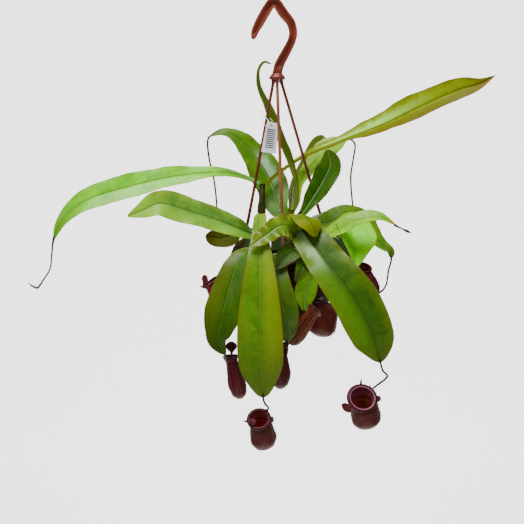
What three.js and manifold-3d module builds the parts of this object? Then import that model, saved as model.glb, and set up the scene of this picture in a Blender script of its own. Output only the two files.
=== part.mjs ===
// Hanging pitcher plant in its pot, on a moulded three-armed hanger.
//
// Frame: millimetres, +Z up. The origin is the seat inside the top of the hook, where it hangs.
// -Y is the front, +X is to the right seen from the front.
// Lists of points are [x, y, z].

import * as THREE from 'three';
import Module from 'manifold-3d';
import { mergeVertices } from 'three/addons/utils/BufferGeometryUtils.js';

const wasm = await Module();
wasm.setup();

// Driving dimensions

const GAP = 0.3;                // between pieces that touch
const HOOK_DEPTH = 9;           // of the hook's section, front to back
const HOOK_FLANGE = 2.8;        // thickness of its two outer ribs
const HOOK_WEB = 2.6;           // thickness of the web between them
const SEAT_WIDTH = 5.2;         // flat part of the crook that rests on the rail
const COLLAR = [4, 0, -79];     // where the hook runs into the disc that holds the arms
const COLLAR_RADIUS = 9.8;
const COLLAR_HEIGHT = 7;
const ARM_WIDTH = 3.2;
const ARM_SPREAD = 5;           // of the arms' top ends, from the collar's axis
const ARM_TURNS = { front: -3, right: 117, left: -123 };   // degrees round from the front
const POT_PLACE = [15, 0, -303];                            // centre of the pot's rim
const POT_LEAN = 3;             // degrees, because the plant is heavier on the left
const POT_RIM_RADIUS = 66;
const POT_RIM_BAND = 13;
const POT_WALL = 1.8;
const POT_NECK_RADIUS = 61;     // under the rim band
const POT_FOOT_RADIUS = 47;
const POT_HEIGHT = 82;
const POT_FLOOR = 77;          // depth inside, rim to floor
const POT_SIDES = 24;
const DRAIN_HOLE_RADIUS = 3.6;
const DRAIN_HOLES = 6;
const SOIL_DROP = 10;           // soil level under the rim
const BLADE = 0.9;              // thickness of a leaf
const TENDRIL = 0.85;           // radius of a tendril
const LIP = 1.5;                // how far a pitcher's rim stands out
const PITCHER_WALL = 1.5;

const radians = THREE.MathUtils.degToRad;
const vec = (p) => new THREE.Vector3(...p);

// Finishes

const finish = (color, roughness = 0.5) => new THREE.MeshStandardMaterial({ color, roughness, metalness: 0 });
const hangerRed = finish(0x8c3c2d, 0.45);
const potBrown = finish(0x5a2a1e, 0.5);
const soilBrown = finish(0x2e2018, 0.95);
const stemOlive = finish(0x4c4a22, 0.7);
const leafGreen = finish(0x4f8a12, 0.4);
const leafDark = finish(0x2f5c14, 0.4);
const leafLime = finish(0x9cc82a, 0.45);
const leafPale = finish(0x8bc060, 0.45);
const leafOlive = finish(0x6b6f14, 0.5);
const leafBlue = finish(0x48703a, 0.4);
const pitcherWine = finish(0x4e1820, 0.4);
const pitcherRust = finish(0x6e3020, 0.45);
const tendrilBrown = finish(0x4a3428, 0.6);
const tagWhite = finish(0xf2f2f0, 0.6);

// Solids

const plant = new THREE.Group();

// A closed solid from a three.js geometry, with its faces pointing out.
function solid(geometry) {
  const bare = geometry.clone();
  bare.deleteAttribute('normal');
  bare.deleteAttribute('uv');
  const merged = mergeVertices(bare, 1e-4);
  const points = merged.attributes.position.array;
  const corner = (i) => new THREE.Vector3(points[3 * i], points[3 * i + 1], points[3 * i + 2]);
  const index = merged.index.array;
  const kept = [];
  let volume = 0;
  for (let i = 0; i < index.length; i += 3) {
    const [a, b, c] = index.slice(i, i + 3);
    if (a === b || b === c || a === c) continue;
    kept.push([a, b, c]);
    volume += corner(a).dot(corner(b).cross(corner(c)));
  }
  const outward = volume > 0 ? kept : kept.map(([a, b, c]) => [a, c, b]);
  return new wasm.Manifold(new wasm.Mesh({
    numProp: 3,
    vertProperties: new Float32Array(points),
    triVerts: new Uint32Array(outward.flat()),
  }));
}

// A named sub-part of the plant.
function piece(name, shape, material) {
  const mesh = shape.getMesh();
  const geometry = new THREE.BufferGeometry();
  geometry.setAttribute('position', new THREE.BufferAttribute(mesh.vertProperties, 3));
  geometry.setIndex(new THREE.BufferAttribute(mesh.triVerts, 1));
  geometry.computeVertexNormals();
  const part = new THREE.Mesh(geometry, material);
  part.name = name;
  plant.add(part);
}

// A lathe turned about Z, from [radius, height] points that close on themselves or on the axis.
function turned(profile, sides, matrix = new THREE.Matrix4()) {
  const points = profile.map(([radius, height]) => new THREE.Vector2(radius, height));
  return solid(new THREE.LatheGeometry(points, sides).rotateX(Math.PI / 2).applyMatrix4(matrix));
}

// A round bar along a smooth path.
function bar(points, radius, steps, sides = 6) {
  const section = new THREE.Shape();
  for (let i = 0; i < sides; i += 1) {
    const turn = (2 * Math.PI * i) / sides;
    const place = [radius * Math.cos(turn), radius * Math.sin(turn)];
    if (i === 0) section.moveTo(...place);
    else section.lineTo(...place);
  }
  section.closePath();
  return solid(new THREE.ExtrudeGeometry(section, { steps, extrudePath: smooth(points), bevelEnabled: false }));
}

// A closed skin over rings of equal count, with a point at each end.
function skinned(rings, start, end) {
  const count = rings[0].length;
  const points = [start, ...rings.flat(), end];
  const last = points.length - 1;
  const at = (ring, i) => 1 + ring * count + (i % count);
  const index = [];
  for (let i = 0; i < count; i += 1) {
    index.push(0, at(0, i + 1), at(0, i));
    index.push(last, at(rings.length - 1, i), at(rings.length - 1, i + 1));
    for (let ring = 0; ring + 1 < rings.length; ring += 1) {
      index.push(at(ring, i), at(ring, i + 1), at(ring + 1, i + 1));
      index.push(at(ring, i), at(ring + 1, i + 1), at(ring + 1, i));
    }
  }
  const geometry = new THREE.BufferGeometry().setFromPoints(points);
  geometry.setIndex(index);
  return solid(geometry);
}

// A value from a list spread evenly along a length, t from 0 to 1, on a smooth curve.
function along(list, t) {
  const path = new THREE.SplineCurve(list.map((value, i) => new THREE.Vector2(i, value)));
  return path.getPoint(t).y;
}

// A direction turned evenly through a list of directions.
function turning(list, t) {
  const place = t * (list.length - 1);
  const i = Math.min(Math.floor(place), list.length - 2);
  if (list.length === 1) return vec(list[0]).normalize();
  return vec(list[i]).normalize().lerp(vec(list[i + 1]).normalize(), place - i).normalize();
}

// A thin plate over rows of points, split into triangles alike on both faces.
function plate(rows, thickness) {
  const count = rows[0].length;
  const last = rows.length - 1;
  const top = [];
  const under = [];
  rows.forEach((row, i) => row.forEach((point, j) => {
    const ahead = rows[Math.min(i + 1, last)][j].clone().sub(rows[Math.max(i - 1, 0)][j]);
    const across = row[Math.min(j + 1, count - 1)].clone().sub(row[Math.max(j - 1, 0)]);
    const normal = across.cross(ahead).normalize().multiplyScalar(thickness / 2);
    top.push(point.clone().add(normal));
    under.push(point.clone().sub(normal));
  }));
  const index = [];
  const at = (i, j) => i * count + j;
  const below = rows.length * count;
  const quad = (a, b, c, d) => index.push(a, b, c, a, c, d);
  for (let i = 0; i < last; i += 1) {
    for (let j = 0; j + 1 < count; j += 1) {
      const [a, b, c, d] = [at(i, j), at(i, j + 1), at(i + 1, j + 1), at(i + 1, j)];
      const corners = j < (count - 1) / 2 ? [a, b, c, d] : [b, c, d, a];
      quad(...corners);
      const [e, f, g, h] = corners.map((k) => k + below);
      index.push(g, f, e, h, g, e);
    }
    quad(at(i + 1, 0), at(i + 1, 0) + below, at(i, 0) + below, at(i, 0));
    quad(at(i, count - 1), at(i, count - 1) + below, at(i + 1, count - 1) + below, at(i + 1, count - 1));
  }
  for (let j = 0; j + 1 < count; j += 1) {
    quad(at(0, j), at(0, j) + below, at(0, j + 1) + below, at(0, j + 1));
    quad(at(last, j + 1), at(last, j + 1) + below, at(last, j) + below, at(last, j));
  }
  const geometry = new THREE.BufferGeometry().setFromPoints([...top, ...under]);
  geometry.setIndex(index);
  return solid(geometry);
}

// A smooth path through points.
const smooth = (points) => new THREE.CatmullRomCurve3(points.map(vec), false, 'centripetal');

// A leaf blade. rib: points along its midrib; width: widths along it; face: directions that its
// upper side looks in along it; tip: share of its length that rounds off; fold: how far the two
// halves lift, per width; wave: height of the ripples at its edges, with that many waves.
function blade(leaf) {
  const { rib, width, face, tip = 0.13, fold = 0.15, wave = 0, waves = 4 } = leaf;
  const { steps = 12, cuts = 4, thickness = BLADE } = leaf;
  const spine = smooth(rib);
  const places = [];
  for (let i = 0; i <= steps; i += 1) places.push([((1 - tip) * i) / steps, 1]);
  for (const turn of [30, 60, 90]) {
    places.push([1 - tip + tip * Math.sin(radians(turn)), Math.cos(radians(turn))]);
  }
  const rows = places.map(([t, narrow]) => {
    const centre = spine.getPointAt(t);
    const ahead = spine.getTangentAt(t);
    const up = turning(face, t);
    up.addScaledVector(ahead, -up.dot(ahead)).normalize();
    const side = ahead.clone().cross(up);
    const half = Math.max(along(width, t) * narrow, 1.4) / 2;
    const row = [];
    for (let j = 0; j <= cuts; j += 1) {
      const a = (2 * j) / cuts - 1;
      const ripple = wave * Math.sin(2 * Math.PI * waves * t + (a < 0 ? 0 : 2)) * Math.sin(Math.PI * t);
      const lift = half * fold * Math.abs(a) + ripple * a * a;
      row.push(centre.clone().addScaledVector(side, a * half).addScaledVector(up, lift));
    }
    return row;
  });
  return plate(rows, thickness);
}

// Hanger hook: an H-section band bent into a crook, on a disc that holds the arms

// Points [x, z, half width] from the tip up to the seat, and from the seat down to the disc.
const crookLeft = [[-25.5, -37.5, 1.6], [-24.6, -34, 3.4], [-22.6, -27.5, 4.6], [-17.6, -18, 5.6],
  [-10.8, -6, 5.8]];
const crookRight = [[10.8, -6, 5.8], [20, -17.5, 5.3], [23.2, -29, 5], [21.4, -39.5, 5.1], [14.6, -53, 5.4],
  [6.6, -68, 5.8], [4, -79, 5.8]];
const APEX_HALF = 5.6;         // half of the band's width at the seat

// Stations [x, z, half width, normal x, normal z] along the crook's centre line.
function crookStations(inset, steps) {
  const limb = (points) => {
    const centre = new THREE.SplineCurve(points.map(([x, z]) => new THREE.Vector2(x, z)));
    const halves = points.map((p) => p[2]);
    return Array.from({ length: steps + 1 }, (_, i) => {
      const t = i / steps;
      const place = centre.getPoint(t);
      const ahead = centre.getTangent(t);
      return [place.x, place.y, along(halves, t) - inset, -ahead.y, ahead.x];
    });
  };
  const apex = (x) => [x, APEX_HALF, APEX_HALF - inset, 0, 1];
  const left = [...crookLeft, [-SEAT_WIDTH / 2 - 0.9, APEX_HALF - 0.35, APEX_HALF]];
  const right = [[SEAT_WIDTH / 2 + 0.9, APEX_HALF - 0.35, APEX_HALF], ...crookRight];
  const leftSide = limb(left).slice(0, -1);
  const rightSide = limb(right).slice(1);
  return [...leftSide, apex(-SEAT_WIDTH / 2), apex(SEAT_WIDTH / 2), ...rightSide];
}

// The band as a solid: its side view, extruded from one depth to another.
function crookBand(stations, from, to) {
  const outer = stations.map(([x, z, half, nx, nz]) => new THREE.Vector2(x + half * nx, z + half * nz));
  const inner = stations.map(([x, z, half, nx, nz]) => new THREE.Vector2(x - half * nx, z - half * nz));
  const side = new THREE.Shape([...outer, ...inner.reverse()]);
  const geometry = new THREE.ExtrudeGeometry(side, { depth: to - from, bevelEnabled: false });
  return solid(geometry.rotateX(Math.PI / 2).translate(0, to, 0));
}

function hangerHook() {
  const half = HOOK_DEPTH / 2;
  const grooveLine = crookStations(HOOK_FLANGE, 7).slice(2, -1);
  const [x, y, z] = COLLAR;
  const disc = turned([
    [0, -COLLAR_HEIGHT], [COLLAR_RADIUS - 1.6, -COLLAR_HEIGHT], [COLLAR_RADIUS, 1.6 - COLLAR_HEIGHT],
    [COLLAR_RADIUS, 3.4 - COLLAR_HEIGHT], [6.2, 0.6], [0, 1.4],
  ], 16, new THREE.Matrix4().makeTranslation(x, y, z));
  return crookBand(crookStations(0, 7), -half, half)
    .subtract(crookBand(grooveLine, HOOK_WEB / 2, half + 1))
    .subtract(crookBand(grooveLine, -half - 1, -HOOK_WEB / 2))
    .add(disc);
}

piece('hanger_hook', hangerHook(), hangerRed);

// Pot and soil, in a frame that leans with the pot

const potFrame = new THREE.Matrix4().makeRotationY(-radians(POT_LEAN)).setPosition(...POT_PLACE);
const wallRadius = (drop) => POT_NECK_RADIUS
  - ((POT_NECK_RADIUS - POT_FOOT_RADIUS) * (drop - POT_RIM_BAND)) / (POT_HEIGHT - POT_RIM_BAND);

function pot() {
  const shell = turned([
    [POT_RIM_RADIUS, 0], [POT_RIM_RADIUS, -POT_RIM_BAND], [POT_RIM_RADIUS - POT_WALL, -POT_RIM_BAND],
    [POT_RIM_RADIUS - POT_WALL, -2.4], [POT_NECK_RADIUS, -4.4], [POT_NECK_RADIUS, -POT_RIM_BAND],
    [POT_FOOT_RADIUS, -POT_HEIGHT], [POT_FOOT_RADIUS - 4, -POT_HEIGHT], [POT_FOOT_RADIUS - 5, -POT_FLOOR - 2],
    [0, -POT_FLOOR - 2], [0, -POT_FLOOR], [wallRadius(POT_FLOOR) - 6, -POT_FLOOR],
    [wallRadius(POT_FLOOR - 4) - POT_WALL, -POT_FLOOR + 4], [POT_NECK_RADIUS - POT_WALL, -POT_RIM_BAND],
    [POT_NECK_RADIUS - POT_WALL, -3], [POT_RIM_RADIUS - 3.6, 0], [POT_RIM_RADIUS, 0],
  ], POT_SIDES);
  let drained = shell;
  for (let i = 0; i < DRAIN_HOLES; i += 1) {
    const turn = (2 * Math.PI * i) / DRAIN_HOLES;
    const hole = new THREE.CylinderGeometry(DRAIN_HOLE_RADIUS, DRAIN_HOLE_RADIUS, 12, 8).rotateX(Math.PI / 2);
    hole.translate(30 * Math.cos(turn), 30 * Math.sin(turn), -POT_FLOOR);
    drained = drained.subtract(solid(hole));
  }
  return drained.transform(potFrame.elements);
}

// Stems: points from the root up, and a radius
const stems = {
  left: { line: [[-6, 8, -336], [-8, 8, -312], [-14, 9, -272], [-15, 13, -240], [-14, 27, -212]],
    radius: 3.2 },
  centre: { line: [[18, 9, -336], [20, 10, -312], [22, 11, -280], [21, 14, -246]], radius: 3.8 },
  right: { line: [[33, -10, -336], [34, -11, -312], [36, -13, -294], [37, -14, -278]], radius: 3.4 },
  front: { line: [[10, -24, -336], [11, -26, -312], [13, -29, -298], [17, -33, -284]], radius: 3 },
};

function soil() {
  const inner = (drop) => wallRadius(drop) - POT_WALL - GAP;
  const profile = [
    [0, -POT_FLOOR + GAP], [wallRadius(POT_FLOOR) - 7, -POT_FLOOR + GAP],
      [inner(POT_FLOOR - 4), -POT_FLOOR + 5],
    [inner(POT_RIM_BAND), -POT_RIM_BAND], [inner(POT_RIM_BAND), -SOIL_DROP],
    [46, -SOIL_DROP + 0.6], [34, -SOIL_DROP + 1.2], [22, -SOIL_DROP + 1.6], [10, -SOIL_DROP + 1.8],
    [0, -SOIL_DROP + 2],
  ];
  const points = profile.map(([radius, height]) => new THREE.Vector2(radius, height));
  const body = new THREE.LatheGeometry(points, POT_SIDES).rotateX(Math.PI / 2);
  const place = body.attributes.position;
  for (let i = 0; i < place.count; i += 1) {
    const [x, y, z] = [place.getX(i), place.getY(i), place.getZ(i)];
    const lump = 1.3 * Math.sin(x * 0.31 + 1) * Math.cos(y * 0.27) + 0.8 * Math.sin(x * 0.12 - y * 0.45);
    if (z > -SOIL_DROP + 0.3) place.setZ(i, z + lump);
  }
  let ground = solid(body).transform(potFrame.elements);
  for (const { line, radius } of Object.values(stems)) {
    const foot = vec(line[0]);
    const up = vec(line[1]).sub(foot);
    const above = foot.clone().addScaledVector(up, 1.8);
    const below = foot.clone().addScaledVector(up, -0.02);
    ground = ground.subtract(bar([below.toArray(), above.toArray()], radius + GAP + 0.3, 1, 8));
  }
  return ground;
}

piece('pot', pot(), potBrown);
piece('soil', soil(), soilBrown);

// Hanger arms, each with a clip that hooks under the pot's rim

function hangerArm(turn) {
  const [sin, cos] = [Math.sin(radians(turn)), Math.cos(radians(turn))];
  const round = (radius, z) => new THREE.Vector3(radius * sin, -radius * cos, z);
  const plateRadius = POT_RIM_RADIUS + GAP + 1.2;
  const upright = new THREE.BoxGeometry(8, 2.4, 24).translate(0, -plateRadius, -5.5);
  const foot = new THREE.BoxGeometry(8, 5.8, 2.4).translate(0, -plateRadius + 1.7, -POT_RIM_BAND - 1.2 - GAP);
  const rib = new THREE.BoxGeometry(2.4, 1.6, 20).translate(0, -plateRadius - 1.6, -4);
  const clip = solid(upright).add(solid(foot)).add(solid(rib));
  const spin = new THREE.Matrix4().makeRotationZ(radians(turn));
  const lower = round(plateRadius, 4).applyMatrix4(potFrame);
  const middle = round(plateRadius - 9.5, 30).applyMatrix4(potFrame);
  const upper = vec(COLLAR).add(round(ARM_SPREAD, -COLLAR_HEIGHT - GAP));
  const second = upper.clone().lerp(middle, 0.12);
  const rod = bar([upper, second, middle, lower].map((p) => p.toArray()), ARM_WIDTH / 2, 10, 6);
  const trimmed = rod.trimByPlane([0, 0, -1], COLLAR_HEIGHT + GAP - COLLAR[2]);
  return trimmed.add(clip.transform(spin.premultiply(potFrame).elements));
}

for (const [side, turn] of Object.entries(ARM_TURNS)) {
  piece(`hanger_arm_${side}`, hangerArm(turn), hangerRed);
}

// Stems, standing in holes in the soil

for (const [side, { line, radius }] of Object.entries(stems)) {
  piece(`stem_${side}`, bar(line, radius, 8, 7), stemOlive);
}

// A point inside a stem at a height, towards a direction round it by degrees from +X.
function off(side, height, turn) {
  const { line, radius } = stems[side];
  const miss = (point) => Math.abs(point.z - height);
  const near = smooth(line).getPoints(200).reduce((a, b) => (miss(b) < miss(a) ? b : a));
  const reach = radius * 0.6;
  return [near.x + reach * Math.cos(radians(turn)), near.y + reach * Math.sin(radians(turn)), near.z];
}

// Leaves. A trail is the bare tendril that some of them end in.

const leaves = {
  leaf_long_left: {
    stem: 'left',
    rib: [off('left', -216, 160), [-34, 34, -208], [-62, 31, -201], [-123, 15, -205], [-184, 0, -218],
      [-232, -12, -234], [-258, -20, -256], [-270, -22, -280]],
    width: [5, 8, 19, 29, 33, 32, 23, 7],
    face: [[0, -0.6, 0.8], [0.1, -0.75, 0.65], [0.2, -0.8, 0.5], [-0.5, -0.8, 0.5]],
    tip: 0.05, fold: 0.22, wave: 1.2, waves: 5, steps: 14, finish: leafPale,
    trail: [[-272, -24, -297], [-275, -24, -316], [-284, -22, -330], [-292, -20, -340], [-296, -19, -339],
      [-304, -18, -334]],
  },
  leaf_second_left: {
    stem: 'left',
    rib: [off('left', -282, 225), [-35, -20, -270], [-69, -30, -255], [-101, -38, -244], [-137, -44, -234],
      [-158, -46, -242], [-176, -46, -249]],
    width: [5, 18, 28, 30, 34, 28, 6],
    face: [[0, -0.75, 0.65], [0, -0.92, 0.4], [-0.1, -0.95, 0.3], [-0.2, -0.9, 0.3]],
    tip: 0.05, fold: 0.18, wave: 1.6, waves: 4, steps: 12, finish: leafPale,
  },
  leaf_olive_left: {
    stem: 'left',
    rib: [off('left', -272, 185), [-42, 10, -272], [-55, 8, -279], [-67, 6, -281], [-78, 4, -280],
      [-85, 2, -278]],
    width: [5, 8, 19, 27, 24, 16],
    face: [[0, -0.6, 0.8], [0, -0.85, 0.5], [-0.1, -0.95, 0.3]],
    tip: 0.14, fold: 0.12, wave: 0.8, waves: 3, steps: 8, finish: leafOlive,
  },
  leaf_upper_left: {
    stem: 'centre',
    rib: [off('centre', -258, 190), [7, 21, -246], [-3, 44, -216], [-22, 54, -185], [-43, 56, -161],
      [-63, 54, -151],
      [-82, 53, -156]],
    width: [6, 16, 36, 42, 33, 22, 10],
    face: [[-0.2, -0.9, 0.3], [0.2, -0.95, 0.2], [0.4, -0.8, 0.5], [-0.3, -0.3, 0.9]],
    tip: 0.06, fold: 0.2, wave: 1.4, waves: 4, steps: 12, finish: leafDark,
    trail: [[-84, 53, -161], [-84, 53, -170], [-82, 54, -186], [-76, 55, -214], [-73, 55, -245],
      [-73, 54, -258]],
  },
  leaf_tall_curled: {
    stem: 'centre',
    rib: [off('centre', -254, 10), [28, 15, -240], [29, 22, -213], [22, 31, -185], [9, 35, -154],
      [-6, 36, -118],
      [-18, 34, -91], [-18, 30, -71], [-11, 28, -63], [-3, 26, -66]],
    width: [5, 9, 12, 14, 14, 13, 11, 6, 3, 1.6],
    face: [[-0.5, -0.6, 0.2], [-0.85, -0.5, 0.1], [-0.85, -0.45, -0.2], [-0.6, -0.5, -0.6]],
    tip: 0.02, fold: 0.25, wave: 0.8, waves: 4, steps: 16, cuts: 2, finish: leafOlive,
  },
  leaf_long_right: {
    stem: 'left',
    rib: [off('left', -217, 20), [11, 40, -199], [49, 40, -176], [91, 38, -159], [139, 27, -140],
      [187, 12, -116],
      [227, 0, -98], [251, -4, -91], [269, -6, -81]],
    width: [5, 7, 12, 17, 28, 36, 33, 15, 2],
    face: [[0, -0.5, 0.8], [0, -0.5, 0.85], [-0.2, -0.7, 0.65], [-0.3, -0.75, 0.6], [-0.2, -0.5, 0.8]],
    tip: 0.03, fold: 0.42, wave: 1.2, waves: 5, steps: 15, finish: leafLime,
  },
  leaf_pale_right: {
    stem: 'centre',
    rib: [off('centre', -251, 50), [30, 24, -238], [32, 37, -214], [45, 52, -192], [66, 62, -170],
      [92, 68, -159]],
    width: [5, 7, 14, 30, 38, 18],
    face: [[0, -0.7, 0.7], [0, -0.6, 0.8], [0.1, -0.5, 0.85]],
    tip: 0.12, fold: 0.2, wave: 1.2, waves: 3, steps: 10, finish: leafLime,
    trail: [[101, 70, -160], [106, 70, -166], [104, 70, -186], [101, 68, -208], [104, 63, -249],
      [107, 58, -272]],
  },
  leaf_round_tip: {
    stem: 'centre',
    rib: [off('centre', -252, 75), [23, 33, -240], [26, 52, -215], [40, 67, -188], [58, 79, -156]],
    width: [5, 10, 14, 20, 21],
    face: [[0, -0.7, 0.7], [0, -0.9, 0.4]],
    tip: 0.16, fold: 0.15, wave: 0.8, waves: 2, steps: 7, cuts: 2, finish: leafDark,
  },
  leaf_upright_right: {
    stem: 'centre',
    rib: [off('centre', -260, 320), [34, -3, -251], [48, -2, -231], [62, 2, -208], [70, 5, -189],
      [67, 10, -171]],
    width: [5, 10, 21, 28, 29, 14],
    face: [[-0.4, -0.8, 0.3], [-0.3, -0.95, 0.1], [-0.1, -0.95, 0.1]],
    tip: 0.12, fold: 0.25, wave: 1.4, waves: 3, steps: 10, finish: leafDark,
  },
  leaf_back_right: {
    stem: 'centre',
    rib: [off('centre', -272, 350), [52, 4, -259], [70, 9, -257], [89, 18, -253], [106, 23, -260],
      [118, 23, -266],
      [127, 21, -272], [134, 18, -282], [141, 16, -291], [147, 13, -298], [148, 10, -307]],
    width: [5, 12, 18, 25, 28, 30, 24, 15, 13],
    face: [[0, -0.5, 0.85], [0, -0.7, 0.7], [0.3, -0.7, 0.6], [0.6, -0.7, 0.3]],
    tip: 0.07, fold: 0.12, wave: 1.2, waves: 4, steps: 13, finish: leafBlue,
  },
  leaf_bright_right: {
    stem: 'right',
    rib: [off('right', -287, 318), [58, -30, -277], [78, -38, -266], [103, -44, -253], [127, -46, -250],
      [146, -46, -260]],
    width: [5, 14, 20, 22, 17, 5],
    face: [[0, -0.5, 0.85], [0, -0.6, 0.8], [0.3, -0.5, 0.8]],
    tip: 0.05, fold: 0.3, wave: 1, waves: 3, steps: 10, finish: leafLime,
    trail: [[156, -46, -265], [165, -46, -269]],
  },
  leaf_lime_folded: {
    stem: 'right',
    rib: [off('right', -283, 62), [60, -2, -283], [80, -5, -273], [94, -15, -270], [97, -31, -282],
      [97, -44, -297],
      [96, -57, -310]],
    width: [4, 6, 14, 31, 37, 22, 9],
    face: [[0, -0.4, 0.9], [0.1, -0.6, 0.8], [0.35, -0.9, 0.2], [0.35, -0.9, -0.1]],
    tip: 0.1, fold: 0.5, wave: 1.2, waves: 3, steps: 10, finish: leafLime,
  },
  leaf_big_right: {
    stem: 'right',
    rib: [off('right', -284, 275), [38, -42, -275], [49, -70, -283], [60, -86, -297], [72, -95, -312],
      [84, -102, -327],
      [95, -107, -342], [104, -111, -360], [110, -113, -373], [117, -115, -391], [122, -116, -411]],
    width: [6, 18, 30, 38, 44, 49, 52, 54, 54, 49, 36],
    face: [[-0.1, -0.3, 0.95], [-0.2, -0.6, 0.7], [-0.2, -0.9, 0.35], [-0.15, -1, 0.1]],
    tip: 0.13, fold: 0.12, wave: 1.2, waves: 4, steps: 13, finish: leafGreen,
  },
  leaf_centre: {
    stem: 'left',
    rib: [off('left', -252, 272), [-16, -20, -249], [-17, -52, -256], [-17, -86, -279], [-17, -106, -316],
      [-17, -114, -362], [-16, -116, -408], [-13, -115, -453]],
    width: [6, 14, 18, 30, 43, 52, 51, 34],
    face: [[0, -0.2, 1], [0, -0.4, 0.9], [0, -0.95, 0.5], [0, -1, 0.15], [0, -1, 0]],
    tip: 0.12, fold: 0.1, wave: 1, waves: 4, steps: 15, finish: leafGreen,
  },
  leaf_left_hanging: {
    stem: 'left',
    rib: [off('left', -304, 240), [-22, -28, -290], [-34, -50, -291], [-43, -60, -302], [-51, -68, -319],
      [-58, -75, -341],
      [-63, -80, -361], [-67, -82, -379], [-67, -82, -394], [-58, -82, -410]],
    width: [5, 8, 14, 24, 31, 37, 41, 28, 7],
    face: [[-0.2, -0.2, 0.9], [-0.4, -0.6, 0.7], [-0.3, -0.9, 0.3], [-0.1, -1, 0.1], [0, -1, 0]],
    tip: 0.04, fold: 0.12, wave: 1, waves: 4, steps: 14, finish: leafDark,
  },
  leaf_blue: {
    stem: 'front',
    rib: [off('front', -296, 262), [5, -56, -293], [0, -71, -297], [1, -85, -308], [5, -97, -326],
      [10, -103, -347],
      [14, -104, -371], [15, -103, -391]],
    width: [4, 8, 16, 26, 30, 33, 28, 14],
    face: [[-0.2, -0.2, 0.9], [-0.1, -0.8, 0.6], [0.1, -0.95, 0.2], [0.1, -1, 0]],
    tip: 0.1, fold: 0.12, wave: 0.8, waves: 3, steps: 11, finish: leafBlue,
  },
  leaf_ruffled: {
    stem: 'front',
    rib: [off('front', -288, 320), [23, -46, -279], [23, -62, -267], [15, -75, -257], [4, -80, -258],
      [-8, -86, -266],
      [-18, -92, -272], [-28, -97, -279]],
    width: [4, 8, 16, 25, 27, 22, 18, 9],
    face: [[0.3, -0.5, 0.8], [0.2, -0.9, 0.4], [0, -0.95, 0.3], [-0.2, -0.9, 0.4]],
    tip: 0.1, fold: 0.1, wave: 2.4, waves: 6, steps: 16, finish: leafLime,
  },
  leaf_hood: {
    stem: 'centre',
    rib: [off('centre', -264, 300), [27, -14, -254], [34, -44, -247], [42, -64, -247], [49, -75, -257],
      [52, -80, -270]],
    width: [4, 16, 27, 31, 28, 16],
    face: [[0, -0.3, 1], [0.3, -0.6, 0.7], [0.6, -0.8, 0.3]],
    tip: 0.15, fold: -0.25, wave: 1, waves: 3, steps: 9, finish: leafOlive,
  },
  leaf_inner_grey: {
    stem: 'right',
    rib: [off('right', -294, 250), [29, -50, -290], [23, -73, -287], [13, -83, -293], [3, -93, -305]],
    width: [4, 9, 20, 25, 12],
    face: [[0, -0.3, 0.9], [0.2, -0.8, 0.6]],
    tip: 0.15, fold: 0.25, steps: 6, cuts: 2, finish: leafBlue,
  },
  leaf_inner_curled: {
    stem: 'right',
    rib: [off('right', -297, 264), [37, -44, -294], [37, -68, -295], [33, -82, -306], [25, -86, -322]],
    width: [4, 8, 15, 18, 9],
    face: [[0, -0.3, 0.9], [0.2, -0.7, 0.7], [0.1, -1, 0]],
    tip: 0.15, fold: 0.2, steps: 7, cuts: 2, finish: leafDark,
  },
  leaf_inner_bright: {
    stem: 'right',
    rib: [off('right', -303, 282), [44, -43, -300], [49, -62, -299], [44, -74, -313], [37, -79, -334],
      [35, -83, -358]],
    width: [4, 7, 10, 22, 28, 12],
    face: [[0.1, -0.3, 0.9], [0.2, -0.8, 0.6], [0, -1, 0.2], [0, -1, 0]],
    tip: 0.12, fold: 0.22, wave: 0.8, waves: 2, steps: 9, finish: leafLime,
  },
  leaf_left_under: {
    stem: 'left',
    rib: [off('left', -292, 215), [-31, -6, -281], [-41, -18, -286], [-48, -30, -302], [-52, -34, -322],
      [-54, -35, -342]],
    width: [4, 8, 13, 14, 13, 8],
    face: [[-0.2, -0.4, 0.9], [-0.5, -0.7, 0.5], [-0.7, -0.7, 0.1]],
    tip: 0.12, fold: 0.15, steps: 8, cuts: 2, finish: leafDark,
  },
  leaf_rear_left: {
    stem: 'left',
    rib: [off('left', -290, 110), [-16, 50, -280], [-22, 86, -284], [-26, 112, -306], [-27, 124, -342],
      [-26, 128, -378]],
    width: [5, 18, 28, 34, 34, 20],
    face: [[-0.2, 0.3, 0.9], [-0.3, 0.8, 0.6], [-0.3, 0.95, 0.2]],
    tip: 0.13, fold: 0.15, wave: 1.2, waves: 4, steps: 10, finish: leafGreen,
  },
  leaf_rear_centre: {
    stem: 'centre',
    rib: [off('centre', -284, 100), [18, 50, -279], [18, 88, -288], [17, 112, -316], [16, 121, -354],
      [15, 123, -392]],
    width: [5, 18, 30, 36, 36, 22],
    face: [[0, 0.3, 0.9], [0.1, 0.7, 0.6], [0, 1, 0.1]],
    tip: 0.13, fold: 0.15, wave: 1.2, waves: 4, steps: 10, finish: leafGreen,
  },
  leaf_rear_right: {
    stem: 'centre',
    rib: [off('centre', -292, 45), [44, 42, -280], [66, 70, -278], [84, 90, -292], [91, 103, -324],
      [90, 107, -356]],
    width: [5, 20, 32, 36, 34, 20],
    face: [[0.2, 0.3, 0.9], [0.3, 0.8, 0.6], [0.3, 0.95, 0.2]],
    tip: 0.13, fold: 0.15, wave: 1.4, waves: 4, steps: 10, finish: leafDark,
  },
};

for (const [name, leaf] of Object.entries(leaves)) {
  const { line, radius } = stems[leaf.stem];
  const cut = blade(leaf).subtract(bar(line, radius + GAP + 0.05, 8, 7));
  const whole = cut.decompose().reduce((a, b) => (a.volume() > b.volume() ? a : b));
  const start = smooth(leaf.rib).getPointAt(0.985).toArray();
  const trail = () => bar([start, leaf.rib.at(-1), ...leaf.trail], TENDRIL, 12, 5);
  piece(name, leaf.trail ? whole.add(trail()) : whole, leaf.finish);
}

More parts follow.
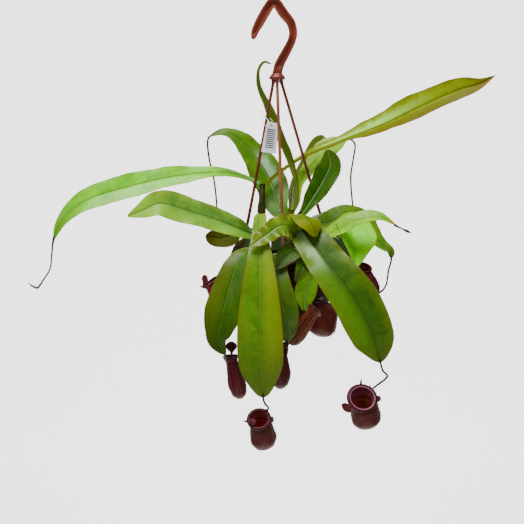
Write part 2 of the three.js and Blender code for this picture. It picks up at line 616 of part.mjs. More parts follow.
// Pitchers: a hollow cup from its base to a slanted mouth, with a rolled rim, two wings up its
// front and a lid on a short neck. back: the side that the lid grows from; open: the way that
// the mouth faces; lid: its length, and its lean in degrees from lying over the mouth.

const WING_TURN = 24;
const WING_SPREAD = 7;
const RING_TURNS = [0, 30, 60, 90, 120,
  180 - WING_TURN - WING_SPREAD, 180 - WING_TURN, 180 - WING_TURN + WING_SPREAD, 180,
  180 + WING_TURN - WING_SPREAD, 180 + WING_TURN, 180 + WING_TURN + WING_SPREAD, 240, 270, 300, 330];

// The axis of a pitcher: its centre and directions at a share of the way up.
function pitcherAxis({ base, mouth, open, back }) {
  const foot = vec(base);
  const rise = vec(mouth).sub(foot);
  const straight = rise.clone().normalize();
  const at = (t) => {
    const normal = straight.clone().lerp(vec(open).normalize(), t * t).normalize();
    const toBack = vec(back).addScaledVector(normal, -vec(back).dot(normal)).normalize();
    const centre = foot.clone().addScaledVector(rise, t);
    return { normal, toBack, across: normal.clone().cross(toBack), centre };
  };
  return { foot, straight, at };
}

// One ring of a pitcher's skin. keel: how far its two wings stand out there.
function pitcherRing(cup, t, size, keel = 0, up = 0) {
  const { normal, toBack, across, centre } = pitcherAxis(cup).at(t);
  return RING_TURNS.map((turn) => {
    const crest = Math.abs(Math.abs(turn - 180) - WING_TURN) < 1;
    const reach = size + (crest ? keel : 0);
    return centre.clone().addScaledVector(normal, up)
      .addScaledVector(toBack, reach * Math.cos(radians(turn)))
      .addScaledVector(across, reach * Math.sin(radians(turn)));
  });
}

// The outer rings of a pitcher, from its base to under its rim, all larger by some clearance.
function pitcherOutside(cup, more = 0) {
  const { radius, belly, wing = 2.4, ears = wing * 0.8 } = cup;
  const sizes = [
    [0.05, belly * 0.5, 0], [0.16, belly * 0.84, wing * 0.3], [0.36, belly, wing],
    [0.66, belly * 0.4 + radius * 0.58, wing], [0.93, radius - 0.4, ears], [1, radius + LIP, 0],
  ];
  return sizes.map(([t, size, keel]) => pitcherRing(cup, t, size + more, keel, t === 1 ? -0.6 : 0));
}

function pitcher(cup) {
  const { radius, belly, lid = 0, lean = 80 } = cup;
  const { foot, at } = pitcherAxis(cup);
  const wall = (t, size) => pitcherRing(cup, t, size - PITCHER_WALL);
  const rings = [
    ...pitcherOutside(cup),
    pitcherRing(cup, 1, radius + LIP * 0.6, 0, 1), pitcherRing(cup, 1, radius - LIP * 0.7, 0, 0.6),
    wall(0.84, radius * 0.92), wall(0.45, belly * 0.92), wall(0.2, belly * 0.72),
  ];
  const body = skinned(rings, foot, at(0.13).centre);
  if (!lid) return body;
  const { normal, toBack, centre } = at(1);
  const hinge = centre.clone().addScaledVector(toBack, radius + LIP * 0.4);
  const [sin, cos] = [Math.sin(radians(lean)), Math.cos(radians(lean))];
  const forward = toBack.clone().multiplyScalar(-cos).addScaledVector(normal, sin);
  const upward = toBack.clone().multiplyScalar(sin).addScaledVector(normal, cos);
  const neck = hinge.clone().addScaledVector(normal, 2.5);
  const flap = blade({
    rib: [hinge, neck, neck.clone().addScaledVector(forward, lid * 0.3).addScaledVector(upward, 0.8),
      neck.clone().addScaledVector(forward, lid * 0.7).addScaledVector(upward, 1),
      neck.clone().addScaledVector(forward, lid)].map((p) => p.toArray()),
    width: [3, 3.4, lid * 0.78, lid * 0.86, lid * 0.6],
    face: [upward.toArray(), upward.toArray()],
    tip: 0.2, fold: -0.18, steps: 5, cuts: 2, thickness: 1,
  });
  return body.add(flap);
}

// A tendril from a leaf's tip, past points, down one side of its pitcher to its base.
function tendril(cup) {
  const { radius, belly, leaf, via, side, lane = [0.96, 0.66, 0.3] } = cup;
  const { foot, straight, at } = pitcherAxis(cup);
  const spine = smooth(leaves[leaf].rib);
  const ahead = spine.getTangentAt(1);
  const tip = vec(leaves[leaf].rib.at(-1));
  const out = vec(side).addScaledVector(straight, -vec(side).dot(straight)).normalize();
  const reach = (t) => Math.max(belly, t > 0.5 ? radius + (t > 0.9 ? LIP : 0) : 0) + 1.8;
  const path = [
    tip.clone().addScaledVector(ahead, GAP), tip.clone().addScaledVector(ahead, 2.5), ...via.map(vec),
    ...lane.map((t) => at(t).centre.addScaledVector(out, reach(t))),
    at(0.08).centre.addScaledVector(out, belly * 0.86), at(0.1).centre.addScaledVector(out, belly * 0.3),
  ];
  const cord = bar(path.map((p) => p.toArray()), TENDRIL, 16, 5);
  const clear = skinned(pitcherOutside(cup, GAP), foot.clone().addScaledVector(straight, -GAP), at(1).centre);
  return cord.subtract(clear).decompose().reduce((a, b) => (a.volume() > b.volume() ? a : b));
}

const pitchers = {
  pitcher_low_right: {
    base: [109, -104, -493], mouth: [102, -112, -455], open: [0.1, -0.74, 0.66], back: [-1, 0, -0.55],
    radius: 15.4, belly: 17, wing: 3, ears: 5.5, lid: 11, lean: 158, finish: pitcherWine,
    leaf: 'leaf_big_right', via: [[125, -115, -421], [131, -110, -429]], side: [0.6, 0.8, 0.2],
  },
  pitcher_low_left: {
    base: [-12, -104, -518], mouth: [-18, -112, -480], open: [-0.1, -0.7, 0.7], back: [-1, -0.2, -0.2],
    radius: 13, belly: 15, wing: 3, ears: 5, lid: 12, lean: 30, finish: pitcherWine,
    leaf: 'leaf_centre', via: [[-11, -113, -461], [-7, -103, -469]], side: [0.5, 0.86, 0.2],
  },
  pitcher_left: {
    base: [-39, -68, -466], mouth: [-50, -64, -417], open: [-0.05, 0, 1], back: [0.1, 1, 0],
    radius: 7.6, belly: 10.6, wing: 3, lid: 14, lean: 92, finish: pitcherWine,
    leaf: 'leaf_left_hanging', via: [[-61, -77, -416]], side: [-1, 0.3, 0],
  },
  pitcher_inner_right: {
    base: [7, -78, -453], mouth: [8, -74, -409], open: [0.05, -0.1, 1], back: [1, 0.3, 0],
    radius: 8, belly: 12, wing: 3, lid: 14, lean: 88, finish: pitcherWine,
    leaf: 'leaf_blue', via: [[16, -92, -396], [15, -74, -402]], side: [0.2, 0.98, 0],
  },
  pitcher_upper_left: {
    base: [-57, -32, -377], mouth: [-77, -26, -332], open: [-0.6, -0.1, 0.79], back: [-1, 0, -0.5],
    radius: 9, belly: 10.8, wing: 2.4, lid: 14, lean: 52, finish: pitcherWine,
    leaf: 'leaf_left_under', via: [[-53, -35, -352]], lane: [0.6, 0.3], side: [0.8, 0.3, 0.4],
  },
  pitcher_right: {
    base: [123, -46, -347], mouth: [108, -40, -312], open: [0.15, -0.45, 0.88], back: [-0.6, 0.8, 0],
    radius: 9.6, belly: 9.2, wing: 2, finish: pitcherWine,
    leaf: 'leaf_back_right', via: [[144, 0, -320], [138, -24, -336]], lane: [], side: [1, 0.6, 0.5],
  },
  pitcher_under_right: {
    base: [56, -68, -391], mouth: [66, -70, -361], open: [0.3, -0.5, 0.81], back: [-0.9, 0.5, 0],
    radius: 14.6, belly: 17, wing: 2.4, lid: 12, lean: 40, finish: pitcherWine,
    leaf: 'leaf_lime_folded', via: [[96, -60, -325], [90, -58, -342]], side: [0.8, 0.6, 0],
  },
  pitcher_rust: {
    base: [20, -90, -395], mouth: [39, -93, -364], open: [0.45, -0.35, 0.82], back: [0.3, 1, 0.2],
    radius: 8.4, belly: 10, wing: 3.2, finish: pitcherRust,
    leaf: 'leaf_inner_bright', via: [[31, -80, -363]], lane: [0.6, 0.3], side: [-0.6, 0.8, 0],
  },
  pitcher_rear: {
    base: [-22, 128, -460], mouth: [-26, 132, -416], open: [0, 0.4, 0.9], back: [1, -0.3, 0],
    radius: 11.5, belly: 14, lid: 13, lean: 60, finish: pitcherWine,
    leaf: 'leaf_rear_left', via: [[-28, 126, -388], [-36, 120, -400]], side: [-0.9, -0.5, 0],
  },
};

for (const [name, cup] of Object.entries(pitchers)) {
  piece(name, pitcher(cup), cup.finish);
  piece(name.replace('pitcher', 'tendril'), tendril(cup), tendrilBrown);
}

// Paper tag on a thin tie round the left arm

const TAG_PLACE = [-4, -6, -156];
const TAG_TURN = 7;             // degrees, in its own plane
const TAG_TOP = 13.6;           // widths and height
const TAG_FOOT = 19;
const TAG_HEIGHT = 37;
const TAG_HOLE = [-1, 14.6];
const TIE_RADIUS = 0.45;
const tieLine = [[-14, -6, -124], [-10, -9.5, -131], [-5, -9, -138], [-3.2, -6.4, -141.4], [-5, 1, -142],
  [-11.4, 6.5, -141.2], [-12.8, 9.4, -140.6], [-12.4, 12, -140.1], [-10.8, 13.3, -139.6], [-8.6, 13, -139.2],
  [-7, 11, -138.8], [-4.6, 5.5, -138], [-2, -1, -136.5], [-2.2, -7, -135], [-4, -13, -133]];

function tag() {
  const [top, foot, high, cut] = [TAG_TOP / 2, TAG_FOOT / 2, TAG_HEIGHT / 2, 1.5];
  const card = new THREE.Shape();
  card.moveTo(-foot, -high);
  card.lineTo(foot, -high);
  card.lineTo(top, high - cut);
  card.lineTo(top - cut, high);
  card.lineTo(cut - top, high);
  card.lineTo(-top, high - cut);
  card.closePath();
  const hole = new THREE.Path();
  hole.absarc(...TAG_HOLE, 1.6, 0, 2 * Math.PI, true);
  card.holes.push(hole);
  const geometry = new THREE.ExtrudeGeometry(card, { depth: 0.8, bevelEnabled: false, curveSegments: 5 });
  return solid(geometry.rotateX(Math.PI / 2).rotateY(radians(TAG_TURN)).translate(...TAG_PLACE));
}

piece('tag', tag(), tagWhite);
piece('tag_tie', bar(tieLine, TIE_RADIUS, 56, 5), tagWhite);

export default plant;
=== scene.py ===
"""Dresses a hanging pitcher plant: waxy strap leaves, hooded pitchers, a pot of bark and a moulded hanger.

The lists of points are millimetres, +Z up, with the origin at the seat inside the hook; -Y is the front.
Meshes and properties are metres.
"""

import functools
import math

import bpy
import numpy as np
from mathutils import Matrix, Vector


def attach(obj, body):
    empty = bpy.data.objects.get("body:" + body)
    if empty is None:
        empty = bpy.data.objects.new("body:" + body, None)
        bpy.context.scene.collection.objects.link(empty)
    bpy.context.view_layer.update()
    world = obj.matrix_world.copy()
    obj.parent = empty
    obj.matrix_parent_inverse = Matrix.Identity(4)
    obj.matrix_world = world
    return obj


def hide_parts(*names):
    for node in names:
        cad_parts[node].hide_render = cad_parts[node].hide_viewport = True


bl_info = {
    "name": "Hanging pitcher plant",
    "version": (1, 0, 0),
    "blender": (4, 5, 0),
    "location": "3D View > Sidebar > Plant",
    "description": "Builds the leaves, pitchers, pot and hanger of a hanging pitcher plant",
    "category": "Add Mesh",
}

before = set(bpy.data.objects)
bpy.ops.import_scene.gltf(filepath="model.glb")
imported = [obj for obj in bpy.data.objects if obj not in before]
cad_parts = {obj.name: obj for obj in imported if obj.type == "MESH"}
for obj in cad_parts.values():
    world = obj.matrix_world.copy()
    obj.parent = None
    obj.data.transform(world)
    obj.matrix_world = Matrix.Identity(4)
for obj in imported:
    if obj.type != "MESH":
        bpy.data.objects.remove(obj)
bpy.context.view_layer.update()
MM = 0.001
TURN = 2 * math.pi


# Lengths and directions

def unit(vector):
    """A vector of length one, or rows of them."""
    vector = np.asarray(vector, float)
    return vector / np.linalg.norm(vector, axis=-1, keepdims=True)


def smooth_step(low, high, value):
    """0 below low, 1 above high and an S-curve between."""
    share = np.clip((np.asarray(value, float) - low) / (high - low), 0, 1)
    return share * share * (3 - 2 * share)


def moved(points, matrix):
    """Rows of points placed by a matrix."""
    place = np.array(matrix)
    return points @ place[:3, :3].T + place[:3, 3]


def bend(share, start, leave, end, arrive):
    """A cubic curve from start to end with the slopes there, at shares of its way."""
    return (start * (2 * share**3 - 3 * share**2 + 1) + leave * (share**3 - 2 * share**2 + share)
            + end * (3 * share**2 - 2 * share**3) + arrive * (share**3 - share**2))


class Path:
    """A smooth curve through points, read by the share of its length."""

    FINENESS = 40
    GLANCE = 0.004

    def __init__(self, points):
        knots = np.array(points, float)
        knots = np.vstack([2 * knots[0] - knots[1], knots, 2 * knots[-1] - knots[-2]])
        share = np.linspace(0, 1, self.FINENESS, endpoint=False)[:, None]
        pieces = []
        for before, start, end, after in zip(knots, knots[1:], knots[2:], knots[3:]):
            gaps = [math.sqrt(max(np.linalg.norm(b - a), 1e-6)) for a, b in
                    ((before, start), (start, end), (end, after))]
            leave = (start - before) / gaps[0] - (end - before) / (gaps[0] + gaps[1])
            leave = (leave + (end - start) / gaps[1]) * gaps[1]
            arrive = (end - start) / gaps[1] - (after - start) / (gaps[1] + gaps[2])
            arrive = (arrive + (after - end) / gaps[2]) * gaps[1]
            pieces.append(bend(share, start, leave, end, arrive))
        self.points = np.vstack(pieces + [knots[-2:-1]])
        steps = np.linalg.norm(np.diff(self.points, axis=0), axis=1)
        self.reach = np.concatenate([[0], np.cumsum(steps)])
        self.length = self.reach[-1]

    def at(self, share):
        """The place at a share of the length, or rows of places."""
        reach = np.clip(share, 0, 1) * self.length
        return np.stack([np.interp(reach, self.reach, axis) for axis in self.points.T], axis=-1)

    def ahead(self, share):
        """The direction of travel there."""
        share = np.asarray(share, float)
        return unit(self.at(np.clip(share + self.GLANCE, 0, 1)) - self.at(np.clip(share - self.GLANCE, 0, 1)))


def between(values, share):
    """For values spread evenly along a length: the numbers of the ones before, and how far past them share lies."""
    place = np.clip(share, 0, 1) * (len(values) - 1)
    i = np.minimum(np.floor(place).astype(int), len(values) - 2)
    return i, place - i


def along(values, share):
    """Values spread evenly along a length, on a smooth curve."""
    values = np.array(values, float)
    i, w = between(values, share)
    before, start, end, after = (values[np.clip(i + step, 0, len(values) - 1)] for step in (-1, 0, 1, 2))
    leave, arrive = (end - before) / 2, (after - start) / 2
    return ((2 * start - 2 * end + leave + arrive) * w**3 + (3 * end - 3 * start - 2 * leave - arrive) * w**2
            + leave * w + start)


def turning(directions, share):
    """A direction turned evenly through a list of directions."""
    directions = unit(directions)
    i, w = between(directions, share)
    w = w[:, None]
    return unit(directions[i] * (1 - w) + directions[i + 1] * w)


def eased(knots, share):
    """A smooth curve through [share, value] knots."""
    curve = Path([[x, y, 0] for x, y in knots]).points
    return np.interp(share, curve[:, 0], curve[:, 1])


def circle(sides):
    """Turns spread evenly round a circle."""
    return np.linspace(0, TURN, sides, endpoint=False)


# Meshes

def new_object(name, points, faces=(), notes=None, material=None, edges=(), smooth=True):
    """A mesh object from points in millimetres; notes are vector attributes of its points."""
    mesh = bpy.data.meshes.new(name)
    mesh.from_pydata((np.asarray(points) * MM).tolist(), edges, faces)
    for key, values in (notes or {}).items():
        layer = mesh.attributes.new(key, "FLOAT_VECTOR", "POINT")
        layer.data.foreach_set("vector", np.asarray(values, np.float32).ravel())
    mesh.polygons.foreach_set("use_smooth", [smooth] * len(mesh.polygons))
    if material:
        mesh.materials.append(material)
    mesh.update()
    piece = bpy.data.objects.new(name, mesh)
    bpy.context.scene.collection.objects.link(piece)
    return piece


def line_object(name, points, notes=None):
    """A line of edges through points in millimetres."""
    return new_object(name, points, notes=notes, edges=[(i, i + 1) for i in range(len(points) - 1)])


def loft(rings, start=None, end=None):
    """Points and faces of a skin over closed rings, with a point that closes each end, faces outwards."""
    rings = np.asarray(rings, float)
    rows, count = rings.shape[:2]
    row, column = (grid.ravel() for grid in np.meshgrid(np.arange(rows - 1), np.arange(count), indexing="ij"))
    ahead = (column + 1) % count
    quads = np.stack([row * count + column, row * count + ahead,
                      (row + 1) * count + ahead, (row + 1) * count + column], axis=1)
    start = rings[0].mean(axis=0) if start is None else start
    end = rings[-1].mean(axis=0) if end is None else end
    points = np.vstack([rings.reshape(-1, 3), start, end])
    first, last, top = len(points) - 2, len(points) - 1, (rows - 1) * count
    side = np.arange(count)
    around = (side + 1) % count
    faces = [*quads.tolist(), *np.stack([np.full(count, first), around, side], axis=1).tolist(),
             *np.stack([np.full(count, last), top + side, top + around], axis=1).tolist()]
    a, b, c, d = (points[quads[:, k]] for k in range(4))
    volume = (np.cross(a, b) * c).sum() + (np.cross(a, c) * d).sum()
    return points, faces if volume > 0 else [face[::-1] for face in faces]


def lathe(profile, sides, matrix=None):
    """Rings of a profile of [radius, height] turned about Z; matrix places them."""
    turns = circle(sides)
    rings = [np.stack([r * np.cos(turns), r * np.sin(turns), np.full(sides, z)], axis=1) for r, z in profile]
    return np.array(rings) if matrix is None else moved(np.array(rings), matrix)


def tapered(name, points, radii, material, sides=10, steps=14):
    """A round spike whose radius runs through a list, closed at both ends."""
    share = np.linspace(0, 1, steps)
    path = Path(points)
    ahead = path.ahead(share)
    side = unit(np.cross(ahead, [0.31, 0.52, 0.79]))
    over = np.cross(ahead, side)
    turns = circle(sides)
    wide = along(radii, share)[:, None, None]
    around = np.cos(turns)[None, :, None] * side[:, None] + np.sin(turns)[None, :, None] * over[:, None]
    return new_object(name, *loft(path.at(share)[:, None] + wide * around), material=material)


def add_modifier(piece, kind, **settings):
    """Adds a modifier with its settings."""
    modifier = piece.modifiers.new(kind.title(), kind)
    for key, value in settings.items():
        setattr(modifier, key, value)
    return modifier


def settled(piece):
    """Turns a piece and its modifiers into a plain mesh."""
    graph = bpy.context.evaluated_depsgraph_get()
    mesh = bpy.data.meshes.new_from_object(piece.evaluated_get(graph))
    piece.modifiers.clear()
    rough, piece.data = piece.data, mesh
    bpy.data.meshes.remove(rough)
    mesh.name = piece.name
    return piece


def rounded(piece, width, segments=2, crease=35):
    """Rounds a piece's edges by a width in millimetres and keeps the rest crisp."""
    add_modifier(piece, "BEVEL", width=width * MM, segments=segments, limit_method="ANGLE",
                 angle_limit=math.radians(crease))
    settled(piece)
    piece.data.set_sharp_from_angle(angle=math.radians(crease))
    return piece


def joined(name, pieces):
    """Joins pieces into the first of them."""
    first = pieces[0]
    if len(pieces) > 1:
        with bpy.context.temp_override(active_object=first, object=first, selected_objects=pieces,
                                       selected_editable_objects=pieces):
            bpy.ops.object.join()
    first.name = first.data.name = name
    return first


def hand_over(piece, slot, *nodes):
    """Fixes a finished piece to the plant and says which solids it stands for."""
    if not len(piece.data.polygons):
        raise RuntimeError(f"{piece.name} has no faces")
    piece.name = piece.data.name = f"{nodes[0]}_look"
    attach(piece, "root")
    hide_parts(*nodes)


# Node trees

def socket_of(sockets, key):
    """A socket by its identifier, or else by its name."""
    return next((socket for socket in sockets if socket.identifier == key), None) or sockets[key]


class Nodes:
    """Adds nodes to a tree: their type, their settings, then the values or links of their sockets."""

    def __init__(self, tree):
        self.tree = tree

    def add(self, kind, settings=None, **sockets):
        node = self.tree.nodes.new(kind)
        for key, value in (settings or {}).items():
            setattr(node, key, value)
        for key, value in sockets.items():
            self.feed(socket_of(node.inputs, key.replace("__", " ")), value)
        return node

    def feed(self, socket, value):
        """Links a socket or sets its value; a node stands for its first output."""
        if isinstance(value, bpy.types.Node):
            value = value.outputs[0]
        if isinstance(value, Value):
            value = value.socket
        if isinstance(value, bpy.types.NodeSocket):
            self.tree.links.new(value, socket)
        else:
            socket.default_value = value

    def value(self, kind, output, settings=None, **sockets):
        """One output of a new node, ready for expressions."""
        return Value(self, socket_of(self.add(kind, settings, **sockets).outputs, output))


class Value:
    """A number that varies over a surface; an expression on it adds its maths nodes."""

    def __init__(self, nodes, socket):
        self.nodes, self.socket = nodes, socket

    def maths(self, operation, *terms):
        sockets = dict(zip(("Value", "Value_001", "Value_002"), terms))
        return self.nodes.value("ShaderNodeMath", "Value", {"operation": operation}, **sockets)

    def __add__(self, other):
        return self.maths("ADD", self, other)

    def __sub__(self, other):
        return self.maths("SUBTRACT", self, other)

    def __rsub__(self, other):
        return self.maths("SUBTRACT", other, self)

    def __mul__(self, other):
        return self.maths("MULTIPLY", self, other)

    def __truediv__(self, other):
        return self.maths("DIVIDE", self, other)

    def __pow__(self, other):
        return self.maths("POWER", self, other)

    def __abs__(self):
        return self.maths("ABSOLUTE", self)

    __radd__, __rmul__ = __add__, __mul__

    def wave(self):
        """0 to 1 and back over each whole number."""
        return self.maths("COSINE", self * TURN) * 0.5 + 0.5

    def inside(self, low, high, soft):
        """1 from low to high and 0 beyond, with soft ends of a width."""
        return self.within(low, low + soft) * self.within(high, high - soft)

    def within(self, low, high):
        """0 below low, 1 above high and an S-curve between; the other way round if low is the higher."""
        if low > high:
            return 1 - self.within(high, low)
        return self.nodes.value("ShaderNodeMapRange", "Result", {"interpolation_type": "SMOOTHSTEP"},
                                Value=self, From__Min=low, From__Max=high)


def colour(paint, gain=1.0):
    """A linear colour from a #rrggbb one or a linear one, made stronger or weaker by gain."""
    if isinstance(paint, str):
        shares = [int(paint[i:i + 2], 16) / 255 for i in (1, 3, 5)]
        paint = [s / 12.92 if s <= 0.04045 else ((s + 0.055) / 1.055) ** 2.4 for s in shares]
    return (*(min(gain * s, 1.0) for s in paint[:3]), 1.0)


class Finish(Nodes):
    """A procedural material on object coordinates or on a piece's own attributes."""

    def __init__(self, name):
        self.material = bpy.data.materials.new(name)
        self.material.use_nodes = True
        super().__init__(self.material.node_tree)
        self.skin = self.tree.nodes["Principled BSDF"]
        self.place = self.add("ShaderNodeTexCoord").outputs["Object"]

    def parts(self, vector):
        """The three numbers of a vector."""
        node = self.add("ShaderNodeSeparateXYZ", Vector=vector)
        return [Value(self, node.outputs[k]) for k in "XYZ"]

    def note(self, name):
        """The three numbers of a vector attribute."""
        return self.parts(self.add("ShaderNodeAttribute", {"attribute_name": name}).outputs["Vector"])

    def noise(self, scale, detail=3.0, roughness=0.5, distortion=0.0, stretch=None):
        """Soft noise from 0 to 1; stretch is a factor along each axis."""
        place = self.place if stretch is None else self.add("ShaderNodeMapping", Vector=self.place, Scale=stretch)
        return self.value("ShaderNodeTexNoise", "Fac", Vector=place, Scale=scale, Detail=detail,
                          Roughness=roughness, Distortion=distortion)

    def cells(self, scale):
        """Distances from scattered points."""
        return self.value("ShaderNodeTexVoronoi", "Distance", Vector=self.place, Scale=scale)

    def mix(self, share, first, second):
        """A colour between two."""
        node = self.add("ShaderNodeMix", {"data_type": "RGBA"}, Factor_Float=share, A_Color=first, B_Color=second)
        return socket_of(node.outputs, "Result_Color")

    def layered(self, skin, *layers):
        """A colour under layers of [share, paint, gain]."""
        for share, paint, *gain in layers:
            skin = self.mix(share, skin, colour(paint, *gain))
        return skin

    def done(self, skin, height=None, depth=0.2, **constants):
        """Sets the colour, a bump whose depth is in millimetres, and the skin's other sockets."""
        self.feed(self.skin.inputs["Base Color"], skin)
        if height is not None:
            bump = self.add("ShaderNodeBump", Strength=0.8, Distance=depth * MM, Height=height)
            self.feed(self.skin.inputs["Normal"], bump)
        for key, value in constants.items():
            self.feed(self.skin.inputs[key.replace("__", " ")], value)
        return self.material


class Growth(Nodes):
    """A Geometry Nodes tree with named inputs, which ends in Realize Instances and Set Material."""

    KINDS = {float: "NodeSocketFloat", int: "NodeSocketInt", type(None): "NodeSocketMaterial"}

    def __init__(self, name, inputs):
        super().__init__(bpy.data.node_groups.new(name, "GeometryNodeTree"))
        face = self.tree.interface
        face.new_socket("Geometry", in_out="INPUT", socket_type="NodeSocketGeometry")
        self.keys = {}
        for label, default in {**inputs, "Material": None}.items():
            item = face.new_socket(label, in_out="INPUT", socket_type=self.KINDS[type(default)])
            if default is not None:
                item.default_value = default
            self.keys[label] = item.identifier
        face.new_socket("Geometry", in_out="OUTPUT", socket_type="NodeSocketGeometry")
        self.given = self.add("NodeGroupInput").outputs

    def input(self, label):
        return Value(self, self.given[label])

    def finish(self, geometry):
        real = self.add("GeometryNodeRealizeInstances", Geometry=geometry)
        smooth = self.add("GeometryNodeSetShadeSmooth", Geometry=real)
        self.add("NodeGroupOutput", Geometry=self.add("GeometryNodeSetMaterial", Geometry=smooth,
                                                      Material=self.given["Material"]))
        return self

    def grow(self, piece, **values):
        """Runs the tree on a piece and leaves a plain mesh."""
        modifier = add_modifier(piece, "NODES", node_group=self.tree)
        for label, value in values.items():
            modifier[self.keys[label.replace("_", " ").capitalize()]] = value
        return settled(piece)


def noted(tree, geometry, name, kind, value):
    """Keeps a value of each point as an attribute."""
    return tree.add("GeometryNodeStoreNamedAttribute", {"data_type": kind, "domain": "POINT"}, Geometry=geometry,
                    Name=name, Value=value)


def random_size(tree, low, high, seed):
    """A random number for each copy."""
    return tree.value("FunctionNodeRandomValue", "Value_001", {"data_type": "FLOAT"}, Min_001=low, Max_001=high,
                      Seed=seed)


def random_turn(tree, low, high):
    """A random vector for each copy."""
    return tree.add("FunctionNodeRandomValue", {"data_type": "FLOAT_VECTOR"}, Min=low, Max=high,
                    Seed=tree.given["Seed"])


@functools.cache
def sweep_tree():
    """A round bar along a line of edges, thicker or thinner towards its end, with rings round it."""
    tree = Growth("Sweep", {"Radius": 0.001, "Sides": 10, "End": 1.0, "Rings": 0.0, "Ring height": 0.0})
    line = tree.add("GeometryNodeMeshToCurve", Mesh=tree.given["Geometry"])
    share = tree.value("GeometryNodeSplineParameter", "Factor")
    marked = noted(tree, line, "along", "FLOAT", share)
    ring = ((share * tree.input("Rings")).wave() ** 8) * tree.input("Ring height")
    width = 1 + share * (tree.input("End") - 1) + ring
    section = tree.add("GeometryNodeCurvePrimitiveCircle", Resolution=tree.given["Sides"],
                       Radius=tree.given["Radius"])
    return tree.finish(tree.add("GeometryNodeCurveToMesh", Curve=marked, Profile__Curve=section, Scale=width,
                                Fill__Caps=True))


@functools.cache
def rib_tree():
    """Fine ribs that curl over a round rim."""
    tree = Growth("Rim ribs", {"Rim radius": 0.012, "Roll width": 0.002, "Roll height": 0.0015,
                               "Rib radius": 0.0003, "Ribs": 80})
    arc = tree.add("GeometryNodeCurveArc", {"mode": "RADIUS"}, Resolution=10, Radius=1.0,
                   Start__Angle=math.radians(-30), Sweep__Angle=math.radians(240))
    marked = noted(tree, arc, "rim", "FLOAT_VECTOR", tree.add("GeometryNodeInputPosition"))
    size = tree.add("ShaderNodeCombineXYZ", X=tree.given["Roll width"], Y=1.0, Z=tree.given["Roll height"])
    place = tree.add("ShaderNodeCombineXYZ", X=tree.given["Rim radius"])
    upright = tree.add("GeometryNodeTransform", Geometry=marked, Rotation=(math.pi / 2, 0, 0))
    rib = tree.add("GeometryNodeTransform", Geometry=upright, Scale=size, Translation=place)
    section = tree.add("GeometryNodeCurvePrimitiveCircle", Resolution=5, Radius=tree.given["Rib radius"])
    solid = tree.add("GeometryNodeCurveToMesh", Curve=rib, Profile__Curve=section, Fill__Caps=True)
    points = tree.add("GeometryNodeMeshLine", Count=tree.given["Ribs"], Offset=(0, 0, 0))
    spin = tree.add("ShaderNodeCombineXYZ",
                    Z=tree.value("GeometryNodeInputIndex", "Index") * TURN / tree.input("Ribs"))
    return tree.finish(tree.add("GeometryNodeInstanceOnPoints", Points=points, Instance=solid, Rotation=spin))


@functools.cache
def fringe_tree():
    """Hairs along a line of edges, each leaning the way that its point notes."""
    tree = Growth("Wing fringe", {"Spacing": 0.0014, "Length": 0.002, "Hair radius": 0.00022, "Seed": 1})
    line = tree.add("GeometryNodeMeshToCurve", Mesh=tree.given["Geometry"])
    evenly = tree.add("GeometryNodeResampleCurve", {"mode": "LENGTH"}, Curve=line, Length=tree.given["Spacing"])
    hair = tree.add("GeometryNodeMeshCone", Vertices=5, Side__Segments=2, Radius__Top=0.00004,
                    Radius__Bottom=tree.given["Hair radius"], Depth=tree.given["Length"])
    out = tree.add("GeometryNodeInputNamedAttribute", {"data_type": "FLOAT_VECTOR"}, Name="out")
    lean = random_turn(tree, (-0.25, -0.25, -0.25), (0.25, 0.25, 0.25))
    way = tree.add("ShaderNodeVectorMath", {"operation": "ADD"}, Vector=out, Vector_001=lean)
    turn = tree.add("FunctionNodeAlignRotationToVector", {"axis": "Z"}, Vector=way)
    return tree.finish(tree.add("GeometryNodeInstanceOnPoints", Points=evenly, Instance=hair, Rotation=turn,
                                Scale=random_size(tree, 0.55, 1.15, tree.given["Seed"])))


@functools.cache
def crumb_tree():
    """Flattened lumps scattered over a surface."""
    tree = Growth("Crumbs", {"Density": 20000.0, "Size": 0.003, "Flatness": 0.5, "Seed": 1})
    spread = tree.add("GeometryNodeDistributePointsOnFaces", Mesh=tree.given["Geometry"],
                      Density=tree.given["Density"], Seed=tree.given["Seed"])
    ball = tree.add("GeometryNodeMeshIcoSphere", Radius=tree.given["Size"], Subdivisions=2)
    jag = tree.add("ShaderNodeTexNoise", Vector=tree.add("GeometryNodeInputPosition"), Scale=420.0, Detail=1.0)
    shift = tree.add("ShaderNodeVectorMath", {"operation": "SUBTRACT"}, Vector=jag.outputs["Color"],
                     Vector_001=(0.5, 0.5, 0.5))
    reach = tree.add("ShaderNodeVectorMath", {"operation": "SCALE"}, Vector=shift, Scale=tree.input("Size") * 1.6)
    lump = tree.add("GeometryNodeSetPosition", Geometry=ball, Offset=reach)
    flat = tree.add("ShaderNodeCombineXYZ", X=1.0, Y=0.7, Z=tree.given["Flatness"])
    chip = tree.add("GeometryNodeTransform", Geometry=lump, Scale=flat)
    turn = random_turn(tree, (-0.6, -0.6, 0.0), (0.6, 0.6, TURN))
    return tree.finish(tree.add("GeometryNodeInstanceOnPoints", Points=spread, Instance=chip, Rotation=turn,
                                Scale=random_size(tree, 0.35, 1.2, tree.input("Seed") + 5)))


def bar(name, points, radius, material, steps=60, **values):
    """A round bar along a smooth path through points, by the sweep tree."""
    line = line_object(name, Path(points).at(np.linspace(0, 1, steps)))
    return sweep_tree().grow(line, Radius=radius * MM, Material=material, **values)


# Driving dimensions and tables

GAP = 0.3

